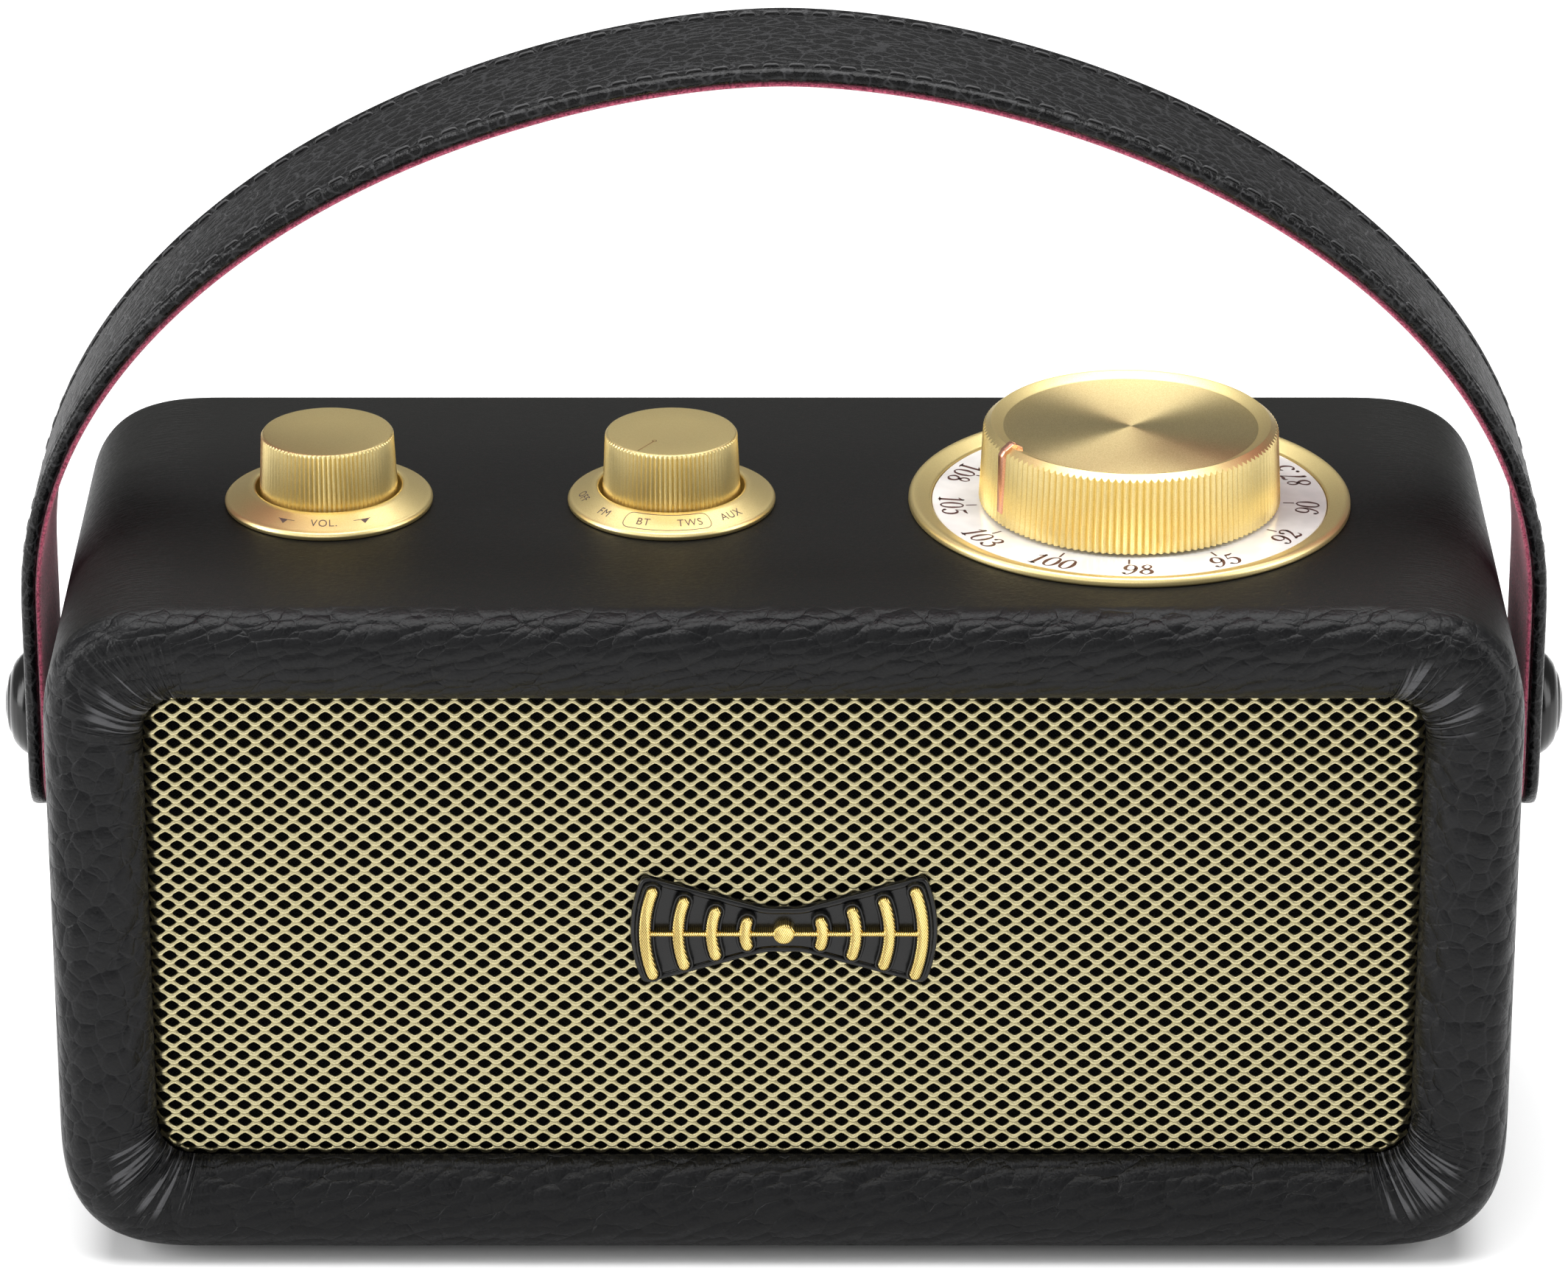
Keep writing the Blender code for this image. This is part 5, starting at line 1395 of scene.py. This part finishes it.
def band(name, section, slot, width):
    """A band along the strap; section is a closed loop of (across share, depth below the outer face)."""
    line, normal, run = strap_line()
    half = strap_half(run, run[-1], width)
    across = np.array([a for a, d in section])
    depth = np.array([d for a, d in section])
    x = line[:, 0:1] - normal[:, 0:1] * depth
    z = line[:, 1:2] - normal[:, 1:2] * depth
    y = STRAP_Y + across[None, :] * half[:, None]
    points = np.stack([x, y, z], -1).reshape(-1, 3)
    count = len(section)
    faces = grid_faces(len(line), count)
    faces += [tuple(reversed(range(count))), tuple(range(len(points) - count, len(points)))]
    mesh = bpy.data.meshes.new(name)
    mesh.from_pydata(points.tolist(), [], faces)
    mesh.materials.append(MATERIALS[slot])
    outward_faces(mesh)
    mesh.shade_smooth()
    mesh.set_sharp_from_angle(angle=math.radians(60))
    obj = bpy.data.objects.new(name, mesh)
    bpy.context.scene.collection.objects.link(obj)
    flow = np.zeros((len(points), 3))
    flow[:, 0] = np.repeat(run, count)
    flow[:, 1] = points[:, 1]
    flow[:, 2] = np.tile(depth, len(line))
    set_attribute(obj, "flow", flow)
    set_attribute(obj, "edge", np.tile(np.clip((np.abs(across) - 0.86) / 0.05, 0, 1), len(line)))
    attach(obj, "handle")
    return obj


STITCH_ACROSS = 0.815
STITCH_PITCH = 2.7 * MM
STITCH_LENGTH = 2.0 * MM
THREAD_R = 0.17 * MM


def strap_section():
    """Half the hide's section: crowned middle, stitched furrow and rolled edge, then the flat underside."""
    half = [
        (0.0, -0.10),
        (0.30, -0.08),
        (0.55, -0.02),
        (0.70, 0.06),
        (0.77, 0.16),
        (0.80, 0.27),
        (0.83, 0.29),
        (0.855, 0.20),
        (0.88, 0.06),
        (0.91, -0.04),
        (0.94, -0.03),
        (0.97, 0.12),
        (0.99, 0.36),
        (1.0, 0.70),
        (0.99, 1.08),
        (0.965, 1.36),
        (0.93, 1.48),
        (0.60, 1.50),
    ]
    right = [(a, d * MM) for a, d in half]
    left = [(-a, d) for a, d in right[1:]]
    return right + left[::-1]


def add_stitches():
    line, normal, run = strap_line(900)
    half = strap_half(run, run[-1], 2 * STRAP_HALF_W)
    length = run[-1]
    dice = random.Random(3)
    points, faces = [], []
    ring_steps = 8
    count = int((length - 6 * MM) / STITCH_PITCH)
    first = (length - count * STITCH_PITCH) / 2
    for side in (-1, 1):
        for number in range(count):
            start = first + (number + 0.5) * STITCH_PITCH - STITCH_LENGTH / 2 + dice.uniform(-0.1, 0.1) * MM
            skew = dice.uniform(-0.05, 0.05) * MM
            base = len(points)
            shares = np.linspace(0, 1, 9)
            for share in shares:
                s = start + share * STITCH_LENGTH
                here = np.array([np.interp(s, run, line[:, 0]), np.interp(s, run, line[:, 1])])
                out = np.array([np.interp(s, run, normal[:, 0]), np.interp(s, run, normal[:, 1])])
                wide = np.interp(s, run, half) * STITCH_ACROSS
                bow = math.sin(math.pi * share)
                sink = 0.42 * MM - 0.38 * MM * min(1.0, 2.2 * bow)
                radius = THREAD_R * (0.55 + 0.45 * min(1.0, 3 * bow))
                for step in range(ring_steps):
                    turn = 2 * math.pi * step / ring_steps
                    rise = radius * math.sin(turn) - sink
                    y = STRAP_Y + side * wide + skew * (share - 0.5) * 2 + radius * 1.15 * math.cos(turn)
                    points.append((here[0] + out[0] * rise, y, here[1] + out[1] * rise))
            faces += [tuple(i + base for i in f) for f in grid_faces(len(shares), ring_steps)]
            faces.append(tuple(base + i for i in reversed(range(ring_steps))))
            faces.append(tuple(len(points) - ring_steps + i for i in range(ring_steps)))
    stitches = add_piece("strap_stitches", points, faces, "thread", "handle", sharp=60)
    outward_faces(stitches.data)


def add_strap():
    hide = band("strap_band", strap_section(), "strap_leather", 2 * STRAP_HALF_W)
    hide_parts("strap_leather")
    near = STRAP_T + 0.02 * MM
    far = STRAP_T + 0.60 * MM
    section = [
        (0.0, near),
        (0.6, near),
        (0.97, near),
        (1.0, near + 0.2 * MM),
        (1.0, far - 0.2 * MM),
        (0.97, far),
        (0.5, far + 0.02 * MM),
        (0.0, far),
    ]
    section += [(-a, d) for a, d in section[-2:0:-1]]
    lining = band("strap_felt", section, "felt", 2 * STRAP_HALF_W - 1.0 * MM)
    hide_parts("strap_lining")
    add_stitches()
    for word, sign in (("left", -1), ("right", 1)):
        place = along((sign, 0, 0), (sign * STRAP_HALF_SPAN, STRAP_Y, STRAP_PIVOT_Z))
        profile = [(0.0, 3.3), (1.0, 3.27), (1.7, 3.18), (2.1, 3.02), (2.4, 2.93), (2.9, 2.90), (3.3, 2.76)]
        profile += [(3.6, 2.52), (3.9, 2.40), (4.25, 2.34), (4.7, 2.06), (5.3, 1.52), (5.75, 0.86)]
        profile += [(5.9, 0.40), (5.75, 0.10), (5.5, 0.02), (2.3, 0.02)]
        profile = [(r * MM, h * MM) for r, h in profile]
        button = turned(f"button_{word}", profile, "gloss_black", "handle", place, 96, False, 0.25 * MM, 50)
        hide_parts(f"strap_button_{word}")


# --- Back, antenna and feet --------------------------------------------------------------------
def carved(obj, cutters, slot):
    """Cuts the cutters out of obj and keeps the result as its mesh."""
    for cutter in cutters:
        modifier = obj.modifiers.new("cut", "BOOLEAN")
        modifier.operation = "DIFFERENCE"
        modifier.object = cutter
        modifier.solver = "EXACT"
    bpy.context.view_layer.update()
    evaluated = obj.evaluated_get(bpy.context.evaluated_depsgraph_get())
    mesh = bpy.data.meshes.new_from_object(evaluated)
    obj.modifiers.clear()
    obj.data = mesh
    mesh.shade_smooth()
    mesh.set_sharp_from_angle(angle=math.radians(30))
    mesh.materials.clear()
    mesh.materials.append(MATERIALS[slot])
    for cutter in cutters:
        bpy.data.objects.remove(cutter)


def cutter_prism(loop, low_y, high_y):
    """A closed (x, z) loop as a solid from low_y to high_y, to cut with."""
    count = len(loop)
    points = [(x, y, z) for y in (low_y, high_y) for x, z in loop]
    faces = [tuple(range(count)), tuple(reversed(range(count, 2 * count)))]
    faces += [(i, count + i, count + (i + 1) % count, (i + 1) % count) for i in range(count)]
    mesh = bpy.data.meshes.new("cutter")
    mesh.from_pydata(points, [], faces)
    outward_faces(mesh)
    obj = bpy.data.objects.new("cutter", mesh)
    bpy.context.scene.collection.objects.link(obj)
    return obj


def circle(x, z, radius, steps=64):
    turn = np.linspace(0, 2 * math.pi, steps, endpoint=False)
    return [(x + radius * math.cos(a), z + radius * math.sin(a)) for a in turn]


def stadium(x, z, width, height, steps=24):
    half = width / 2 - height / 2
    loop = []
    for side, start in ((1, -math.pi / 2), (-1, math.pi / 2)):
        for turn in np.linspace(start, start + math.pi, steps):
            loop.append((x + side * half + height / 2 * math.cos(turn), z + height / 2 * math.sin(turn)))
    return loop


def xz_middle(node):
    low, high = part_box(node)
    return (low.x + high.x) / 2, (low.z + high.z) / 2


def add_back():
    low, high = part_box("rear_panel")
    back, front = high.y, low.y
    inset = HALF_W - high.x
    bases, directions = cabinet_frame(40, 2, 2)
    rings = [(inset + 0.7 * MM, back), (inset + 0.35 * MM, back - 0.08 * MM)]
    rings += [(inset + 0.08 * MM, back - 0.35 * MM), (inset, back - 0.7 * MM), (inset, front)]
    loops = [cabinet_loop(bases, directions, i, y - FRONT_Y) for i, y in rings]
    count = len(bases)
    points = np.concatenate(loops)
    faces = grid_faces(len(loops), count)
    faces += [tuple(reversed(range(count))), tuple(range(len(points) - count, len(points)))]
    panel = add_piece("back_plate", points, faces, "rear_plastic", "cabinet")
    outward_faces(panel.data)
    cutters = []
    for name in ("bottom_left", "bottom_right", "top_left", "top_right"):
        x, z = xz_middle(f"rear_screw_{name}")
        cutters.append(cutter_prism(circle(x, z, 2.9 * MM), back - 1.1 * MM, back + 1 * MM))
        cutters.append(cutter_prism(circle(x, z, 1.4 * MM), front - 1 * MM, back + 1 * MM))
        add_screw(name, x, z, back - 0.6 * MM)
    usb, aux, stem = (xz_middle(node) for node in ("usb_socket", "aux_socket", "antenna_base"))
    openings = (stadium(*usb, 9.6 * MM, 3.9 * MM), circle(*aux, 3.3 * MM), circle(*stem, 2.3 * MM))
    cutters += [cutter_prism(loop, front - 1 * MM, back + 1 * MM) for loop in openings]
    carved(panel, cutters, "rear_plastic")
    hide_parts("rear_panel")
    add_sockets(usb, aux, back)


def add_screw(name, x, z, y):
    profile = [(0.0, 0.9), (1.2, 0.86), (2.0, 0.62), (2.5, 0.28), (2.6, 0.08), (2.6, -0.2)]
    profile = [(r * MM, h * MM) for r, h in profile + [(1.0, -0.2), (1.0, -8.5), (0.0, -9.0)]]
    place = along((0, 1, 0), (x, y, z))
    screw = turned(f"screw_{name}", profile, "black_screw", "cabinet", place, 48, soften=0.08 * MM)
    half, arm = 0.22 * MM, 1.25 * MM
    cutters = []
    for width, height in ((arm, half), (half, arm)):
        cross = [(x + a, z + b) for a, b in rectangle(width, height)]
        cutters.append(cutter_prism(cross, y + 0.2 * MM, y + 2 * MM))
    carved(screw, cutters, "black_screw")
    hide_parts(f"rear_screw_{name}")


def add_sockets(usb, aux, back):
    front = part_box("usb_socket")[0].y
    face = back - GAP
    shell = cutter_prism(stadium(*usb, 8.9 * MM, 3.2 * MM), front, face)
    shell.name = "usb_sleeve"
    hollow = cutter_prism(stadium(*usb, 8.3 * MM, 2.6 * MM), face - 5 * MM, face + 1 * MM)
    carved(shell, [hollow], "steel")
    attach(shell, "cabinet")
    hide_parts("usb_socket")
    tongue = cutter_prism(stadium(*usb, 6.6 * MM, 0.7 * MM), face - 5.2 * MM, face - 0.6 * MM)
    tongue.name = "usb_tongue"
    tongue.data.materials.append(MATERIALS["gloss_black"])
    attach(tongue, "cabinet")
    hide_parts("usb_socket")
    profile = [(1.8, -4.0), (1.8, -0.12), (1.92, 0.0), (2.8, 0.0), (3.0, -0.2), (3.0, -5.0)]
    profile = [(r * MM, h * MM) for r, h in profile + [(0.0, -5.0), (0.0, -4.6), (1.8, -4.6)]]
    place = along((0, 1, 0), (aux[0], face, aux[1]))
    jack = turned("aux_jack", profile, "steel", "cabinet", place, 64, soften=0.05 * MM)
    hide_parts("aux_socket")


def add_antenna():
    for number, radius in enumerate((2.5, 1.85, 1.2, 0.65), 1):
        low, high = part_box(f"antenna_tube_{number}")
        y, z = (low.y + high.y) / 2, (low.z + high.z) / 2
        length = high.x - low.x
        place = along((-1, 0, 0), (high.x, y, z))
        r = radius * MM
        if number < 4:
            bore = (2.15, 1.5, 0.95)[number - 1] * MM
            groove = r - 0.1 * MM
            far = [(0.0, 6.0), (bore, 6.0), (bore, 0.1), (groove, 0.0), (r, 0.12), (r, 1.6)]
            far += [(groove, 1.8), (groove, 2.0), (r, 2.2)]
            near = [(r, 0.15 * MM), (r - 0.15 * MM, 0.0), (0.0, 0.0)]
        else:
            tip = 2.2 * MM
            shoulder = 1.9 * MM
            far = [(0.0, 0.0), (1.2 * MM, 0.12), (shoulder, 0.5), (tip, 1.1), (tip, 2.3), (shoulder, 2.9)]
            far += [(r + 0.5 * MM, 3.1), (r, 3.2)]
            near = [(r, 0.0), (0.0, 0.0)]
        profile = [(across, length - back * MM) for across, back in far] + near
        body = f"antenna_section_{number}"
        tube = turned(f"mast_{number}", profile, "antenna_chrome", body, place, 72, soften=0.08 * MM)
        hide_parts(f"antenna_tube_{number}")


def add_antenna_mount():
    """The turning fork at the antenna's foot, and the flattened eye that tilts in it."""
    base_low, base_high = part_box("antenna_base")
    root_low, root_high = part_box("antenna_root")
    pin_low, pin_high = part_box("antenna_hinge_pin")
    centre = (pin_low + pin_high) / 2
    radius = (base_high.x - base_low.x) / 2
    back = base_high.y - centre.y
    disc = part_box("rear_panel")[1].y + GAP - centre.y
    stem = base_low.y - centre.y
    profile = [(0.0, back), (radius - 0.3 * MM, back), (radius, back - 0.4 * MM), (radius, disc + 0.15 * MM)]
    profile += [(radius - 0.15 * MM, disc), (2.0 * MM, disc), (2.0 * MM, stem), (0.0, stem)]
    fork = turned("mast_fork", profile, "antenna_chrome", "antenna_turret", along((0, 1, 0), centre), 96)
    gap_half = (root_high.z - root_low.z) / 2 + GAP
    gap = [(centre.x + x, centre.z + z) for x, z in rectangle(10 * MM, gap_half)]
    cutter = cutter_prism(gap, centre.y + disc + 1.2 * MM, base_high.y + 1 * MM)
    carved(fork, [cutter], "antenna_chrome")
    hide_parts("antenna_base")
    half = (root_high.z - root_low.z) / 2
    eye = [(0.0, half), (2.3 * MM, half), (2.5 * MM, half - 0.2 * MM), (2.5 * MM, 0.2 * MM - half)]
    eye += [(2.3 * MM, -half), (0.0, -half)]
    eye = turned("mast_eye", eye, "antenna_chrome", "antenna_section_1", centre, 64)
    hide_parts("antenna_root")
    neck = [(0.0, 0.0), (1.9, 0.0), (1.9, 1.2), (1.5, 1.8), (1.5, 5.0), (0.0, 5.0)]
    neck = [(r * MM, h * MM) for r, h in neck]
    place = along((1, 0, 0), (root_low.x, centre.y, centre.z))
    neck = turned("mast_neck", neck[::-1], "antenna_chrome", "antenna_section_1", place, 64)
    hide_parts("antenna_root")


def add_feet():
    for row in ("front", "rear"):
        for side in ("left", "right"):
            low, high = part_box(f"foot_{row}_{side}")
            place = ((low.x + high.x) / 2, (low.y + high.y) / 2, low.z)
            r, h = (high.x - low.x) / 2, high.z - low.z + 0.25 * MM
            profile = [(0.0, h), (r, h), (r, 0.35 * MM), (r - 0.10 * MM, 0.12 * MM)]
            profile += [(r - 0.35 * MM, 0.0), (0.0, 0.0)]
            foot = turned(f"pad_{row}_{side}", profile, "foot_rubber", "cabinet", place, 64, soften=0.08 * MM)
            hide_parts(f"foot_{row}_{side}")


# --- Stage -------------------------------------------------------------------------------------
def add_stage():
    material, tree, shader = new_material("pale_floor")
    tone = noise_of(tree, object_coords(tree), 0.4, 2.0).outputs["Fac"]
    base = colour_mix(tree, tone, (0.86, 0.86, 0.86), (0.90, 0.90, 0.90))
    tree.links.new(base, shader.inputs["Base Color"])
    shader.inputs["Roughness"].default_value = 0.7
    shader.inputs["Specular IOR Level"].default_value = 0.2
    reach = 4.0
    mesh = bpy.data.meshes.new("floor")
    mesh.from_pydata([(x, y, 0) for x, y in rectangle(reach, reach)], [], [(0, 1, 2, 3)])
    mesh.materials.append(material)
    floor = bpy.data.objects.new("floor", mesh)
    bpy.context.scene.collection.objects.link(floor)


def add_light(name, place, target, size, power):
    light = bpy.data.lights.new(name, "AREA")
    light.shape = "RECTANGLE"
    light.size, light.size_y = size
    light.energy = power
    obj = bpy.data.objects.new(name, light)
    bpy.context.scene.collection.objects.link(obj)
    obj.location = place
    obj.rotation_euler = (Vector(target) - Vector(place)).to_track_quat("-Z", "Y").to_euler()


def add_lights():
    world = bpy.data.worlds.new("studio")
    world.use_nodes = True
    background = world.node_tree.nodes["Background"]
    background.inputs["Color"].default_value = (1.0, 1.0, 1.0, 1.0)
    background.inputs["Strength"].default_value = 0.24
    bpy.context.scene.world = world
    middle = (0, 0, 0.06)
    add_light("overhead_box", (0.0, 0.05, 0.90), middle, (1.1, 0.8), 16.0)
    add_light("front_box", (-0.20, -0.95, 0.50), middle, (0.9, 0.5), 2.2)
    add_light("left_box", (-0.80, -0.20, 0.35), middle, (0.4, 0.6), 6.0)
    add_light("right_box", (0.80, -0.20, 0.35), middle, (0.4, 0.6), 3.8)


def add_camera():
    camera = bpy.data.cameras.new("camera")
    camera.lens = 168.6
    camera.sensor_width = 36.0
    camera.clip_start = 0.01
    camera.clip_end = 50.0
    obj = bpy.data.objects.new("camera", camera)
    bpy.context.scene.collection.objects.link(obj)
    pitch = 0.4125
    obj.location = (0.0, -0.7455, 0.3857)
    obj.rotation_euler = Euler((math.pi / 2 - pitch, 0.0, 0.0))
    bpy.context.scene.camera = obj


bpy.context.scene.view_settings.view_transform = "Standard"
add_camera()
add_stage()
add_lights()
add_cover()
add_grille()
add_padding()
add_cloth()
add_badge()
add_controls()
add_strap()
add_back()
add_antenna()
add_antenna_mount()
add_feet()
